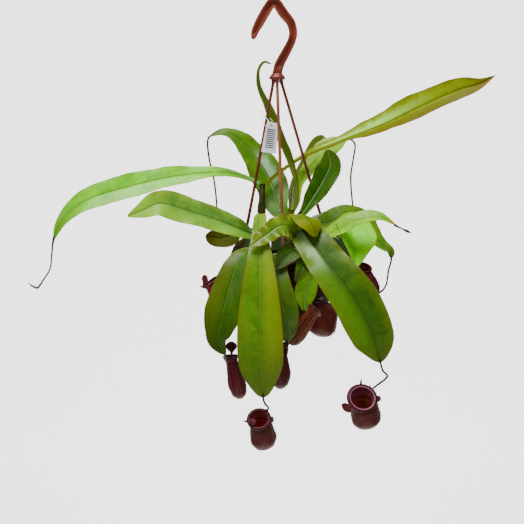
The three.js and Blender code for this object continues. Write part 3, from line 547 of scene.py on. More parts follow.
# The hanger. The crook's two limbs are stations [x, z, half width], up from its tip and down from its top.
HOOK_DEPTH, HOOK_FLANGE, HOOK_WEB, SEAT_WIDTH, APEX_HALF = 9, 2.8, 2.6, 5.2, 5.6
CROOK_LEFT = [[-25.5, -37.5, 1.6], [-24.6, -34, 3.4], [-22.6, -27.5, 4.6], [-17.6, -18, 5.6], [-10.8, -6, 5.8]]
CROOK_RIGHT = [[10.8, -6, 5.8], [20, -17.5, 5.3], [23.2, -29, 5], [21.4, -39.5, 5.1], [14.6, -53, 5.4],
               [6.6, -68, 5.8], [4, -79, 5.8]]
COLLAR, COLLAR_RADIUS, COLLAR_HEIGHT = (4, 0, -79), 9.8, 7
ARM_RADIUS, ARM_SPREAD = 1.85, 5
ARM_TURNS = {"front": -3, "right": 117, "left": -123}

# The pot and its soil, with the crumbs on it: number to a square metre, size and flatness.
POT_RIM_RADIUS, POT_RIM_BAND, POT_WALL, POT_NECK_RADIUS, POT_FOOT_RADIUS = 66, 13, 1.8, 61, 47
POT_HEIGHT, POT_FLOOR, DRAIN_HOLE_RADIUS, DRAIN_HOLES, DRAIN_RING, SOIL_DROP = 82, 77, 3.6, 6, 30, 10
POT_FRAME = Matrix.Translation((15, 0, -303)) @ Matrix.Rotation(-math.radians(3), 4, "Y")
POT_SIDES, SOIL_SIDES, SOIL_RINGS, SOIL_EDGE, SOIL_EDGE_DROP = 120, 144, 40, 3, 0.8
CRUMBS = {"bark": (20000, 3.4, 0.4), "grit": (34000, 1.2, 0.8)}

# The clips on the pot's rim. Each is boxes: a size, how far inward of the clip's reach and how high over the rim it
# lies, and how far its edges are rounded.
CLIP_REACH = POT_RIM_RADIUS + GAP + 1.2
CLIP_BOXES = [((8, 2.4, 24), 0, -5.5, 0.5), ((8, 5.8, 2.4), 1.7, -POT_RIM_BAND - 1.2 - GAP, 0.5),
              ((2.4, 1.6, 20), -1.6, -4, 0.4)]

# The leaves and pitchers. Tendrils start and throats end at a share of the leaf's length and of the cup's height.
LEAF_THICKNESS, LID_THICKNESS = 0.9, 0.85
ROW_STEP, ROW_LIMITS, LID_ROWS, TENDRIL_START = 2.4, (30, 100), 26, 0.985
CUP_SIDES, RIM_SIDES, ROLL_SIDES, THROAT_FLOOR = 96, 120, 20, 0.13
PITCHER_WALL, RIM_OVERHANG, RIM_LIFT, RIB_RADIUS, RIB_SPACING = 1.5, 1.5, 0.35, 0.24, 0.95
WING_TURN, WING_THICKNESS, HAIR_RADIUS, HAIR_SPACING = math.radians(24), 1.2, 0.28, 1.5
DRY_EDGE, SPECKS, DUST = "#6a4420", "#5c4a1c", "#b9a590"

# The tag, its printed bars and rules, and its tie.
TAG_PLACE, TAG_TURN, TAG_TOP, TAG_FOOT, TAG_HEIGHT = (-4, -6, -156), 7, 13.6, 19, 37
TAG_HOLE, TAG_HOLE_RADIUS, TAG_THICKNESS, TIE_RADIUS = (-1, 14.6), 1.6, 0.8, 0.45
PRINT_HEIGHTS, BARS_ACROSS, BAR_PITCH = (-14, 10.4), (-5.7, 5), 2.4
RULES_ACROSS, RULE_PITCH, RULE_DASH = (5.6, 7.2), 1.1, 6.5
TIE_LINE = [[-14, -6, -124], [-10, -9.5, -131], [-5, -9, -138], [-3.2, -6.4, -141.4], [-5, 1, -142],
            [-11.4, 6.5, -141.2], [-12.8, 9.4, -140.6], [-12.4, 12, -140.1], [-10.8, 13.3, -139.6],
            [-8.6, 13, -139.2], [-7, 11, -138.8], [-4.6, 5.5, -138], [-2, -1, -136.5], [-2.2, -7, -135],
            [-4, -13, -133]]

# The stage. Its backdrop glows between the inner columns, up to the lit height; the camera and lamps are in metres.
FLOOR, FLOOR_FRONT, SWEEP_START, SWEEP_RADIUS, BACKDROP_TOP = -2100, -4000, 1000, 900, 3500
LIT_HEIGHT, BACKDROP_COLUMNS = 510, (-5000, -1500, 1500, 5000)
CAMERA_PLACE, CAMERA_PITCH, CAMERA_LENS = (-0.0145, -1.2873, -0.1296), 8, 71.45
WORLD_LIGHT, BACKDROP_GLOW, LAMP_AIM = 0.3, 2.0, (0, 0, -0.25)
LAMPS = {"Top lamp": ((-0.2, -0.25, 1.1), 1.0, 44), "Left lamp": ((-1.5, -1.3, 0.7), 0.9, 7),
         "Right lamp": ((1.7, -1.0, 0.2), 1.0, 3)}

STEMS = {
    "left": dict(line=[[-6, 8, -336], [-8, 8, -312], [-14, 9, -272], [-15, 13, -240], [-14, 26, -216]], radius=4.2,
                 knot=[[-14.6, 10, -258], [-15, 12, -248], [-15, 15, -236]]),
    "centre": dict(line=[[18, 9, -336], [20, 10, -312], [22, 11, -280], [21, 14, -246]], radius=3.8),
    "right": dict(line=[[33, -10, -336], [34, -11, -312], [36, -13, -294], [37, -14, -278]], radius=3.4),
    "front": dict(line=[[10, -24, -336], [11, -26, -312], [13, -29, -298], [17, -33, -284]], radius=3),
}


def off(side, height, turn):
    """A point inside a stem at a height, towards a direction round it by degrees from +X."""
    stem = STEMS[side]
    line = Path(stem["line"]).points
    near = line[np.argmin(np.abs(line[:, 2] - height))]
    reach = stem["radius"] * 0.6
    return [near[0] + reach * math.cos(math.radians(turn)), near[1] + reach * math.sin(math.radians(turn)), near[2]]


# The look that the three leaves at the back share: dark greens and a dark underside, painted shade for where they hang
# behind the plant.
SHADED_REAR_LOOK = dict(paints="#2c5204 #3a5606 #304a04 #3a5418", sheen=0.6, under="#16240a", gleam=0.2)

# Each leaf: its slot, the share of its length that its tip rounds off, its fold, the height and number of its waves,
# the midrib (rib) from inside a stem to the tip, the widths and facing along it, the bare trail past its tip with the
# trail's radii (bud), then its look. paints are its body, edge, tip and midrib; on some leaves the midrib's pale line
# is also a painted highlight.
LEAVES = {
    "leaf_long_left": dict(
        slot="leaf_pale", tip=0.05, fold=0.22, wave=1.2, waves=5,
        rib=[off("left", -216, 160), [-34, 34, -208], [-62, 31, -201], [-123, 15, -205], [-184, 0, -218],
        [-232, -12, -234], [-258, -20, -256], [-270, -22, -280]],
        width=[6, 12, 22, 30, 33, 32, 23, 7], face=[[0, -0.6, 0.8], [0.1, -0.75, 0.65], [0.2, -0.8, 0.5],
        [-0.5, -0.8, 0.5]],
        trail=[[-272, -24, -297], [-275, -24, -316], [-284, -22, -330], [-292, -20, -340], [-296, -19, -339],
        [-304, -18, -334]],
        bud=[1.7, 1.3, 1.1, 1, 1, 1, 1.1, 1.25, 1.3, 0.5],
        look=dict(paints="#65c003 #77c503 #4f8202 #8cc02a", shade="#2f4a02", gleam=0.24, tip_from=0.7, old=0.3)),
    "leaf_second_left": dict(
        slot="leaf_pale", tip=0.05, fold=0.18, wave=1.6, waves=4,
        rib=[off("left", -282, 225), [-35, -20, -270], [-69, -30, -255], [-101, -38, -244], [-137, -44, -234],
        [-158, -46, -242], [-176, -46, -249]],
        width=[5, 18, 28, 30, 34, 28, 6], face=[[0, -0.75, 0.65], [0, -0.92, 0.4], [-0.1, -0.95, 0.3],
        [-0.2, -0.9, 0.3]],
        look=dict(paints="#659d2f #93b622 #86bc10 #709543", shade="#467731", left="#74af25", tip_from=0.66)),
    "leaf_olive_left": dict(
        slot="leaf_olive", tip=0.14, fold=0.12, wave=0.8, waves=3,
        rib=[off("left", -272, 185), [-42, 10, -272], [-55, 8, -279], [-67, 6, -281], [-78, 4, -280], [-85, 2, -278]],
        width=[5, 8, 19, 27, 24, 16], face=[[0, -0.6, 0.8], [0, -0.85, 0.5], [-0.1, -0.95, 0.3]],
        look=dict(paints="#3a4600 #443f01 #3e3400 #39400e", sheen=0.62, under="#2c3310", gleam=0.05)),
    "leaf_upper_left": dict(
        slot="leaf_dark", tip=0.06, fold=0.2, wave=1.4, waves=4,
        rib=[off("centre", -258, 190), [7, 21, -246], [-3.5, 44, -216], [-22, 54, -185], [-43, 56, -161],
        [-63, 54, -151], [-82, 53, -156]],
        width=[14, 32, 43, 43, 33, 22, 10], face=[[-0.2, -0.9, 0.3], [0.2, -0.95, 0.2], [0.4, -0.8, 0.5],
        [-0.3, -0.3, 0.9]],
        trail=[[-84, 53, -161], [-84, 53, -170], [-82, 54, -186], [-76, 55, -214], [-73, 55, -245], [-73, 54, -258]],
        # Its paler patch is a painted highlight.
        look=dict(paints="#42740a #597a04 #435204 #94b858", rib_line_and_highlight_width=1.5, gleam=0.16, pale_patch_and_highlight="#8fb488",
        pale_patch_and_highlight_at=(0.3, 0.42, 0.5, 0.66), pale_patch_and_highlight_side=1)),
    "leaf_tall_curled": dict(
        slot="leaf_olive", tip=0.02, fold=0.25, wave=0.8, waves=4,
        rib=[off("centre", -254, 10), [28, 15, -240], [29, 22, -213], [22, 31, -185], [9, 35, -154], [-6, 36, -118],
        [-18, 34, -91], [-18, 30, -71], [-11, 28, -63], [-3, 26, -66]],
        width=[4, 6.5, 8.5, 10.5, 13.5, 15, 13, 8, 4.5, 3], face=[[-0.5, -0.6, 0.2], [-0.7, -0.7, 0.1],
        [-0.6, -0.8, -0.1], [-0.6, -0.6, -0.4]],
        look=dict(paints="#506803 #5b6604 #b8aa60 #8fa029", tip_from=0.93)),
    "leaf_long_right": dict(
        slot="leaf_lime", tip=0.03, fold=0.42, wave=1.2, waves=5,
        rib=[off("left", -217, 20), [11, 40, -199], [49, 40, -176], [91, 38, -159], [139, 27, -140], [187, 12, -116],
        [227, 0, -98], [251, -4, -91], [269, -6, -81]],
        width=[5, 7, 12, 17, 28, 36, 33, 25, 2], face=[[0, -0.5, 0.8], [0, -0.5, 0.85], [-0.2, -0.7, 0.65],
        [-0.35, -0.85, 0.45], [-0.4, -0.9, 0.1]],
        look=dict(paints="#6a8000 #5a4604 #6a4204 #7a7a10", left="#869e04", right="#585a00", tip_from=0.84, old=0.35,
        pale_patch_and_highlight="#a4e05a", shade="#565c02", sheen=0.6, gleam=0.07)),
    "leaf_pale_right": dict(
        slot="leaf_lime", tip=0.12, fold=0.2, wave=1.2, waves=3,
        rib=[off("centre", -251, 50), [30, 24, -238], [33, 37, -216], [47, 49, -196], [68, 58, -174], [93, 66, -159]],
        width=[5, 7, 14, 25, 33, 22], face=[[0, -0.7, 0.7], [0, -0.6, 0.8], [0.1, -0.5, 0.85]],
        trail=[[101, 70, -160], [106, 70, -166], [104, 70, -186], [101, 68, -208], [104, 63, -249], [107, 58, -272]],
        look=dict(paints="#73ac01 #84af01 #729601 #b9d32f", gleam=0.18)),
    "leaf_round_tip": dict(
        slot="leaf_dark", tip=0.16, fold=0.15, wave=0.8, waves=2,
        rib=[off("centre", -252, 75), [23, 33, -240], [28, 52, -215], [46, 67, -188], [66, 79, -155]],
        width=[5, 9, 13, 21, 23], face=[[0, -0.7, 0.7], [0, -0.95, 0.3]],
        look=dict(paints="#526801 #5c6802 #535b01 #b9cf58")),
    "leaf_upright_right": dict(
        slot="leaf_dark", tip=0.12, fold=0.25, wave=1.4, waves=3,
        rib=[off("centre", -260, 320), [34, -3, -251], [48, -2, -231], [62, 2, -208], [70, 5, -189], [67, 10, -171]],
        width=[5, 10, 21, 28, 29, 14], face=[[-0.4, -0.8, 0.3], [-0.3, -0.95, 0.1], [-0.1, -0.95, 0.1]],
        # Its wide pale midrib line is partly a painted highlight.
        look=dict(paints="#285400 #415b01 #374b01 #a4cc78", rib_line_and_highlight_width=1.8, gleam=0.12)),
    "leaf_back_right": dict(
        slot="leaf_blue", tip=0.07, fold=0.12, wave=1.2, waves=4,
        rib=[off("centre", -272, 350), [52, 4, -263], [70, 9, -261], [89, 18, -255], [106, 23, -260], [114, 23, -264],
        [120, 21, -271], [128, 18, -282], [139, 16, -292], [147, 13, -298], [148, 10, -307]],
        width=[6, 22, 29, 33, 36, 36, 27, 16, 13], face=[[0, -0.5, 0.85], [0, -0.7, 0.7], [0.3, -0.7, 0.6],
        [0.6, -0.7, 0.3]],
        look=dict(paints="#4f8102 #677c07 #3e4a02 #5c7b22", tip_from=0.82)),
    "leaf_bright_right": dict(
        slot="leaf_lime", tip=0.05, fold=0.3, wave=1, waves=3,
        rib=[off("right", -287, 318), [58, -30, -277], [78, -38, -266], [103, -44, -253], [127, -46, -250],
        [146, -46, -260]],
        width=[5, 20, 24, 24, 17, 5], face=[[0, -0.5, 0.85], [0, -0.6, 0.8], [0.3, -0.5, 0.8]],
        trail=[[156, -46, -265], [165, -46, -269]],
        bud=[1.8, 1.3, 1, 1, 1.6, 1.5, 0.4],
        look=dict(paints="#72b600 #8db500 #934100 #c8e914", tip_from=0.86, old=0.4, gleam=0.24)),
    "leaf_lime_folded": dict(
        slot="leaf_lime", tip=0.1, fold=0.5, wave=1.2, waves=3,
        rib=[off("right", -283, 62), [60, -2, -283], [80, -5, -273], [94, -15, -270], [97, -31, -282],
        [97, -44, -297], [96, -57, -310]],
        width=[4, 8, 20, 44, 52, 28, 9], face=[[0, -0.4, 0.9], [0.1, -0.6, 0.8], [0.35, -0.9, 0.2],
        [0.35, -0.9, -0.1]],
        look=dict(paints="#68cc00 #8ad601 #65bb01 #a8dc21", shade="#3d8800", left="#7cd400", gleam=0.06)),
    "leaf_big_right": dict(
        slot="leaf_green", tip=0.13, fold=0.12, wave=1.2, waves=4,
        rib=[off("right", -284, 275), [33, -42, -264], [43, -69, -275], [60, -86, -297], [72, -95, -312],
        [84, -102, -327], [95, -107, -342], [104, -111, -360], [110, -113, -373], [117, -115, -391],
        [122, -116, -411]],
        width=[6, 26, 36, 42, 46, 49, 52, 54, 53, 46, 30], face=[[-0.1, -0.3, 0.95], [-0.2, -0.6, 0.7],
        [-0.2, -0.9, 0.35], [-0.15, -1, 0.1]],
        # Its paler patch near the base is a painted highlight.
        look=dict(paints="#2f5800 #647400 #415401 #3a6506", tip_from=0.82, right="#4c7a00", gleam=0.24,
        pale_patch_and_highlight="#a2c486", pale_patch_and_highlight_side=1, pale_patch_and_highlight_at=(0.06, 0.16, 0.3, 0.5))),
    "leaf_centre": dict(
        slot="leaf_green", tip=0.15, fold=0.1, wave=1, waves=4,
        rib=[off("left", -252, 272), [-16, -20, -249], [-17, -52, -256], [-17, -86, -279], [-17, -106, -316],
        [-17, -114, -362], [-16, -116, -408], [-13, -115, -453]],
        width=[6, 14, 18, 30, 43, 52, 51, 34], face=[[0, -0.2, 1], [0, -0.4, 0.9], [0, -0.95, 0.5], [0, -1, 0.15],
        [0, -1, 0]],
        look=dict(paints="#4f8200 #6e7002 #3f5400 #9ab84a", shade="#6a8a04", tip_from=0.66, left="#728e00", gleam=0.2,
        rib_line_and_highlight_width=1.3)),
    "leaf_left_hanging": dict(
        slot="leaf_dark", tip=0.04, fold=0.12, wave=1, waves=4,
        rib=[off("left", -304, 240), [-22, -28, -290], [-34, -50, -291], [-43, -60, -302], [-49.5, -68, -319],
        [-56, -75, -341], [-61, -80, -361], [-65.5, -82, -379], [-67, -82, -394], [-58, -82, -410]],
        width=[5, 8, 16, 27, 35, 41, 43, 28, 7], face=[[-0.2, -0.2, 0.9], [-0.4, -0.6, 0.7], [-0.3, -0.9, 0.3],
        [-0.1, -1, 0.1], [0, -1, 0]],
        look=dict(paints="#325c00 #4a5600 #283a00 #7ea63c", shade="#3c4201", right="#4b5e05", gleam=0.16, rib_line_and_highlight_width=1.2)),
    "leaf_blue": dict(
        slot="leaf_blue", tip=0.1, fold=0.12, wave=0.8, waves=3,
        rib=[off("front", -296, 262), [5, -56, -293], [0, -71, -297], [1, -85, -308], [5, -97, -326],
        [10, -103, -347], [14, -104, -371], [15, -103, -391]],
        width=[4, 8, 16, 26, 30, 33, 28, 14], face=[[-0.2, -0.2, 0.9], [-0.1, -0.8, 0.6], [0.1, -0.95, 0.2],
        [0.1, -1, 0]],
        look=dict(paints="#3a5e01 #4c5e02 #384901 #80962c")),
    "leaf_ruffled": dict(
        slot="leaf_lime", tip=0.1, fold=0.1, wave=4.4, waves=9,
        rib=[off("front", -288, 320), [23, -46, -279], [23, -62, -267], [15, -75, -257], [4, -80, -258],
        [-8, -86, -266], [-18, -92, -272], [-28, -97, -279]],
        width=[4, 8, 16, 25, 27, 22, 18, 9], face=[[0.3, -0.5, 0.8], [0.2, -0.9, 0.4], [0, -0.95, 0.3],
        [-0.2, -0.9, 0.4]],
        look=dict(paints="#568001 #8a8410 #627102 #a9bd2c", old=0.5)),
    "leaf_hood": dict(
        slot="leaf_olive", tip=0.15, fold=-0.25, wave=1, waves=3,
        rib=[off("centre", -264, 300), [25, -14, -254], [31, -44, -247], [38, -64, -247], [45, -75, -257],
        [48, -80, -270]],
        width=[4, 18, 33, 38, 34, 18], face=[[0, -0.3, 1], [0.3, -0.6, 0.7], [0.6, -0.8, 0.3]],
        look=dict(paints="#5c7400 #6c7400 #5e6400 #707a10", sheen=0.56, under="#6a6410", gleam=0.06)),
    "leaf_inner_grey": dict(
        slot="leaf_blue", tip=0.15, fold=0.25,
        rib=[off("right", -294, 250), [29, -50, -290], [23, -73, -287], [13, -83, -293], [3, -93, -305]],
        width=[4, 9, 20, 25, 12], face=[[0, -0.3, 0.9], [0.2, -0.8, 0.6]],
        look=dict(paints="#34580c #324503 #203202 #516521", sheen=0.62, under="#3c5024", gleam=0.12)),
    # leaf_inner_curled: its bright edge is painted light along the curled rim, and its dark body painted shade inside
    # the curl.
    "leaf_inner_curled": dict(
        slot="leaf_dark", tip=0.15, fold=0.2,
        rib=[off("right", -297, 264), [37, -44, -294], [37, -68, -295], [33, -82, -306], [25, -86, -322]],
        width=[4, 8, 15, 18, 9], face=[[0, -0.3, 0.9], [0.2, -0.7, 0.7], [0.1, -1, 0]],
        look=dict(paints="#3a6804 #6aa008 #3d4303 #6f8c2f")),
    "leaf_inner_bright": dict(
        slot="leaf_lime", tip=0.12, fold=0.22, wave=0.8, waves=2,
        rib=[off("right", -303, 282), [44, -43, -300], [49, -62, -299], [44, -74, -313], [37, -79, -334],
        [35, -83, -358]],
        width=[4, 6, 8, 17, 26, 10], face=[[0.1, -0.3, 0.9], [0.2, -0.8, 0.6], [0, -1, 0.2], [0, -1, 0]],
        # Its wide pale midrib line is partly a painted highlight.
        look=dict(paints="#7cc408 #86ba08 #5c9404 #d8ecb8", old=0.3, sheen=0.4, rib_line_and_highlight_width=2.2)),
    # leaf_left_under: its dark brown is partly a dry leaf's own colour and partly painted shade.
    "leaf_left_under": dict(
        slot="leaf_dark", tip=0.12, fold=0.15,
        rib=[off("left", -292, 215), [-31, -6, -281], [-41, -18, -286], [-48, -30, -302], [-52, -34, -322],
        [-54, -35, -342]],
        width=[4, 8, 13, 14, 13, 8], face=[[-0.2, -0.4, 0.9], [-0.5, -0.7, 0.5], [-0.7, -0.7, 0.1]],
        look=dict(paints="#302a04 #2c2403 #2a1a03 #39300e", sheen=0.62, under="#241c0a", gleam=0.05)),
    "leaf_rear_left": dict(
        slot="leaf_green", tip=0.13, fold=0.15, wave=1.2, waves=4,
        rib=[off("left", -290, 110), [-16, 50, -280], [-22, 86, -284], [-26, 112, -306], [-27, 124, -342],
        [-26, 128, -378]],
        width=[5, 18, 28, 34, 34, 20], face=[[-0.2, 0.3, 0.9], [-0.3, 0.8, 0.6], [-0.3, 0.95, 0.2]],
        look=SHADED_REAR_LOOK),
    "leaf_rear_centre": dict(
        slot="leaf_green", tip=0.13, fold=0.15, wave=1.2, waves=4,
        rib=[off("centre", -284, 100), [18, 50, -279], [18, 88, -288], [17, 112, -316], [16, 121, -354],
        [15, 123, -392]],
        width=[8, 34, 40, 40, 38, 22], face=[[0, 0.3, 0.9], [0.1, 0.7, 0.6], [0, 1, 0.1]],
        look=SHADED_REAR_LOOK),
    "leaf_rear_right": dict(
        slot="leaf_dark", tip=0.13, fold=0.15, wave=1.4, waves=4,
        rib=[off("centre", -292, 45), [44, 42, -280], [66, 70, -278], [84, 90, -292], [91, 103, -324],
        [90, 107, -356]],
        width=[5, 20, 32, 36, 34, 20], face=[[0.2, 0.3, 0.9], [0.3, 0.8, 0.6], [0.3, 0.95, 0.2]],
        look=SHADED_REAR_LOOK),
}

# Each pitcher: its foot (base), the middle of its mouth, the ways that the mouth opens and that its back lies, its
# radii at the mouth and belly, its fins (wing, ears), the lid's size and lean and the spur behind it, then the leaf
# that it hangs on, the tendril's way to it (via), the shares of its height where the tendril runs beside it (lane)
# and on which side. paints are its body, blotch, foot, inside, glow (light specks, and a painted highlight on the
# fins), throat, rim (a painted highlight along the rim's crest), streak and lid; skin is the panel's colour.
PITCHERS = {
    "pitcher_low_right": dict(
        base=[110, -104, -492], mouth=[102, -112, -455], open=[0.1, -0.76, 0.64], back=[-0.8, -0.4, -0.45],
        radius=16.8, belly=17.2, wing=0.8, ears=6.5, lid=11, lean=158, flap=1.35, spur=[0, 0.4, 0.9], spur_height=1.4,
        leaf="leaf_big_right", via=[[125, -115, -421], [131, -110, -429]], side=[0.6, 0.8, 0.2],
        paints="#53201c #330e0d #3f1b17 #b45c18 #6a5648 #56001e #ac6884 #3c0616 #4a1014"),
    "pitcher_low_left": dict(
        base=[-10.5, -104, -518], mouth=[-18, -112, -480], open=[-0.1, -0.7, 0.7], back=[-0.82, -0.4, -0.42],
        radius=13, belly=15, wing=1.2, ears=5, lid=12, lean=8, flap=0.8, spur=[-0.95, -0.3, 0.1], leaf="leaf_centre",
        via=[[-11, -113, -461], [-7, -103, -469]], side=[0.5, 0.86, 0.2],
        paints="#51201a #2d0c09 #4d241c #d83008 #6a4a3c #6a0610 #7a2a3c #30060e #42070b"),
    "pitcher_left": dict(
        base=[-40, -68, -468], mouth=[-52, -64, -416.5], open=[-0.05, 0, 1], back=[0.1, 1, 0], radius=8, belly=11,
        wing=3, lid=14.5, lean=92, leaf="leaf_left_hanging", via=[[-60.5, -68, -416]], lane=[0.86, 0.6, 0.3],
        side=[-0.8, 0.6, 0], paints="#561018 #3a0d0f #582321 #49080c #8a4450 #520a14 #701420 #2c0408 #3a0508"),
    "pitcher_inner_right": dict(
        base=[7, -78, -453], mouth=[9, -76, -399], open=[0.05, -0.1, 1], back=[1, 0.3, 0], radius=7, belly=12, wing=3,
        lid=14, lean=88, leaf="leaf_blue", via=[[15.5, -98, -399], [14.5, -88, -408]], side=[0.5, 0.86, 0],
        paints="#520c0c #2a0504 #310f07 #350606 #7a241a #42080c #3d080a #230304 #2e0406"),
    "pitcher_upper_left": dict(
        base=[-57, -32, -377], mouth=[-77, -26, -332], open=[-0.6, -0.1, 0.79], back=[-1, 0, -0.5], radius=10.2,
        belly=11.6, wing=0.6, lid=14, lean=34, lid_face=[-0.5, -0.8, 0.3], leaf="leaf_left_under",
        via=[[-53, -35, -352]], lane=[0.6, 0.3], side=[0.8, 0.3, 0.4],
        paints="#820a12 #54060c #601212 #4d0708 #a83a44 #6a0c14 #3a0a10 #4a080c #4a060c"),
    "pitcher_right": dict(
        base=[123, -46, -347], mouth=[108, -40, -312], open=[0.15, -0.45, 0.88], back=[-0.6, 0.8, 0], radius=9.6,
        belly=9.2, wing=2, leaf="leaf_back_right", via=[[144, 0, -320], [138, -24, -336]], lane=[],
        side=[1, 0.6, 0.5], paints="skin #320909 #3e1e11 #5a0c0a #602826 #6a0c12 #7a1018 #2c0508 #320909"),
    "pitcher_under_right": dict(
        base=[53, -68, -391], mouth=[63, -66, -355], open=[0.35, 0.35, 0.85], back=[-0.9, 0.3, 0], radius=15.8,
        belly=17, wing=1, lid=12, lean=40, leaf="leaf_lime_folded", via=[[96, -60, -325], [90, -58, -342]],
        side=[0.8, 0.6, 0], paints="#5a1d10 #3c0e09 #3e1009 #370706 #5a2a24 #42080c #5a2030 #310909 #3a0a12"),
    "pitcher_rust": dict(
        base=[19, -91, -396], mouth=[46, -97, -354], open=[0.6, 0.45, 0.66], back=[0.3, 1, 0.2], radius=8.4, belly=10,
        wing=3.2, leaf="leaf_inner_bright", via=[[31, -80, -363]], lane=[0.6, 0.3], side=[-0.6, 0.8, 0],
        paints="#5e250f #441809 #44250f #4c1808 #80502c #5a1a0c #7a3a1a #441509 #441809"),
    "pitcher_rear": dict(
        base=[-22, 128, -460], mouth=[-26, 132, -416], open=[0, 0.4, 0.9], back=[1, -0.3, 0], radius=11.5, belly=14,
        lid=13, lean=60, leaf="leaf_rear_left", via=[[-28, 126, -388], [-36, 120, -400]], side=[-0.9, -0.5, 0],
        paints="skin #3c1414 #4a2a1c #4a0c0c #6a3434 #520a14 #5c1c26 #350c12 #3c1414"),
}


# Finishes

def leaf_finish(name, gloss, paints, under="#7d9350", shade=None, sheen=0.46, tip_from=0.72, left=None, right=None,
                pale_patch_and_highlight=None, pale_patch_and_highlight_at=(0.2, 0.32, 0.5, 0.78), pale_patch_and_highlight_side=-1, old=0.0, rib_line_and_highlight_width=1.0, gleam=0.3):
    """A waxy leaf: lighter midrib with painted shade along its groove, faint veins, a tinted edge and tip,
    a paler matt underside.

    left and right tint its two halves and shade its base. pale_patch_and_highlight lightens the middle of one half:
    a paler patch that on some leaves is a painted highlight, on pale_patch_and_highlight_side and between the shares
    of its length in pale_patch_and_highlight_at. rib_line_and_highlight_width widens the midrib's pale line, which on
    some leaves is also a painted highlight. old is the strength of its dry brown edge, sheen its roughness and gleam
    the strength of its wax.
    """
    body, edge, tip, rib = paints.split()
    leaf = Finish(name)
    across, share, below = leaf.note("blade")
    off_rib, reach, half = leaf.note("span")
    wide, off_rib = abs(across), abs(off_rib)
    cloud = leaf.noise(38, 3, 0.55, 0.6)
    patch = leaf.noise(75, 4, 0.6, 0.8)
    mottle = leaf.noise(230, 4, 0.62)
    grain = leaf.noise(1100, 3, 0.6)
    warp = (leaf.noise(90, 2) - 0.5) * 1.8
    side_vein = ((reach - off_rib * 0.62 - off_rib * off_rib * 0.012 + warp) / 5.2).wave() ** 9
    long_vein = (abs(wide - 0.56) * half).within(0.6, 0.1) + (abs(wide - 0.8) * half).within(0.5, 0.1)
    beside_rib = off_rib + share * 0.35

    skin = leaf.mix(cloud.within(0.35, 0.7), colour(body, 0.74), colour(body, 1.08))
    layers = [(patch.within(0.42, 0.68) * 0.6, np.multiply(colour(body, 1.15), (1.8, 1.2, 0.7, 1)))]
    if left:
        layers.append((across.within(0.1, -0.5), left))
    if right:
        layers.append((across.within(-0.1, 0.5), right))
    layers += [(mottle.within(0.42, 0.72) * 0.3, body, 0.62),
               ((wide + patch * 0.8 - 0.4).within(0.45, 1.05) * 0.55, edge)]
    # A paler patch in the middle of one half; on some leaves it is a painted highlight.
    if pale_patch_and_highlight:
        start, full, fade, end = pale_patch_and_highlight_at
        layers.append(((across * pale_patch_and_highlight_side).within(0.05, 0.2) * share.within(start, full) * share.within(end, fade)
                       * (wide + patch * 0.8).within(1.2, 0.7), pale_patch_and_highlight))
    if shade:
        layers.append(((share + cloud * 0.2 - 0.1).within(0.3, 0.02), shade))
    layers += [((share + cloud * 0.16 - 0.08).within(tip_from, 1.0) * 0.85, tip),
               (side_vein * 0.1, body, 1.7), (long_vein * 0.16, body, 1.7),
               # A darker band each side of the midrib: painted shade in its groove.
               (beside_rib.within(2.6, 1.3) * 0.42, body, 0.4),
               # The midrib's pale line: partly its own colour and, where widened, a painted highlight along it.
               ((off_rib / rib_line_and_highlight_width + share * 0.45).within(0.8, 0.3) * 0.45, rib),
               ((wide + mottle * 0.08).within(0.985, 1.03) * (0.35 + old), DRY_EDGE),
               (leaf.cells(150).within(0.085, 0.03) * 0.35, SPECKS),
               (below * 0.62, under)]
    height = (leaf.cells(620) * 0.06 + grain * 0.03 + cloud * 1.6 - side_vein * 0.1 - long_vein * 0.2
              + mottle * 0.2)
    rough = sheen - 0.3 * gloss + mottle * 0.12 + below * 0.25 + beside_rib.within(1.15, 0.45) * 0.08
    return leaf.done(leaf.layered(skin, *layers), height, 0.3, Roughness=rough, Specular__IOR__Level=gleam)


def pitcher_finish(name, body, blotch, foot, inside, glow, throat):
    """A leathery pitcher skin with blotches, fine hairs of colour and light specks, a painted highlight along its
    fins, and another colour inside.
    """
    cup = Finish(name)
    rise, inner, fin = cup.note("cup")
    patch = cup.noise(120, 4, 0.6, 0.8)
    fine = cup.noise(620, 4, 0.65)
    streak = cup.noise(1.0, 3, 0.6, stretch=(420, 420, 60))
    ribs = cup.noise(1.0, 2, 0.5, stretch=(900, 900, 120))
    skin = cup.mix(patch.within(0.3, 0.75) * 0.7, colour(body), colour(blotch))
    # Light specks in the glow colour, and on the fins a painted highlight in it.
    skin = cup.layered(skin, (streak.within(0.5, 0.72) * 0.3, body, 0.5), (rise.within(0.6, 0.02) * 0.55, foot),
                       (cup.cells(330).within(0.22, 0.08) * 0.2, glow), (fin * 0.5, glow))
    throat_skin = cup.mix(ribs.within(0.42, 0.62), colour(throat), colour(throat, 0.4))
    lining = cup.mix(patch.within(0.35, 0.7), colour(inside), colour(inside, 0.55))
    skin = cup.mix(inner, skin, cup.mix(rise.within(0.82, 0.87), lining, throat_skin))
    height = fine * 0.5 + patch * 0.6 + streak * 0.3
    return cup.done(skin, height, 0.22, Roughness=0.4 + fine * 0.2, Specular__IOR__Level=0.2)


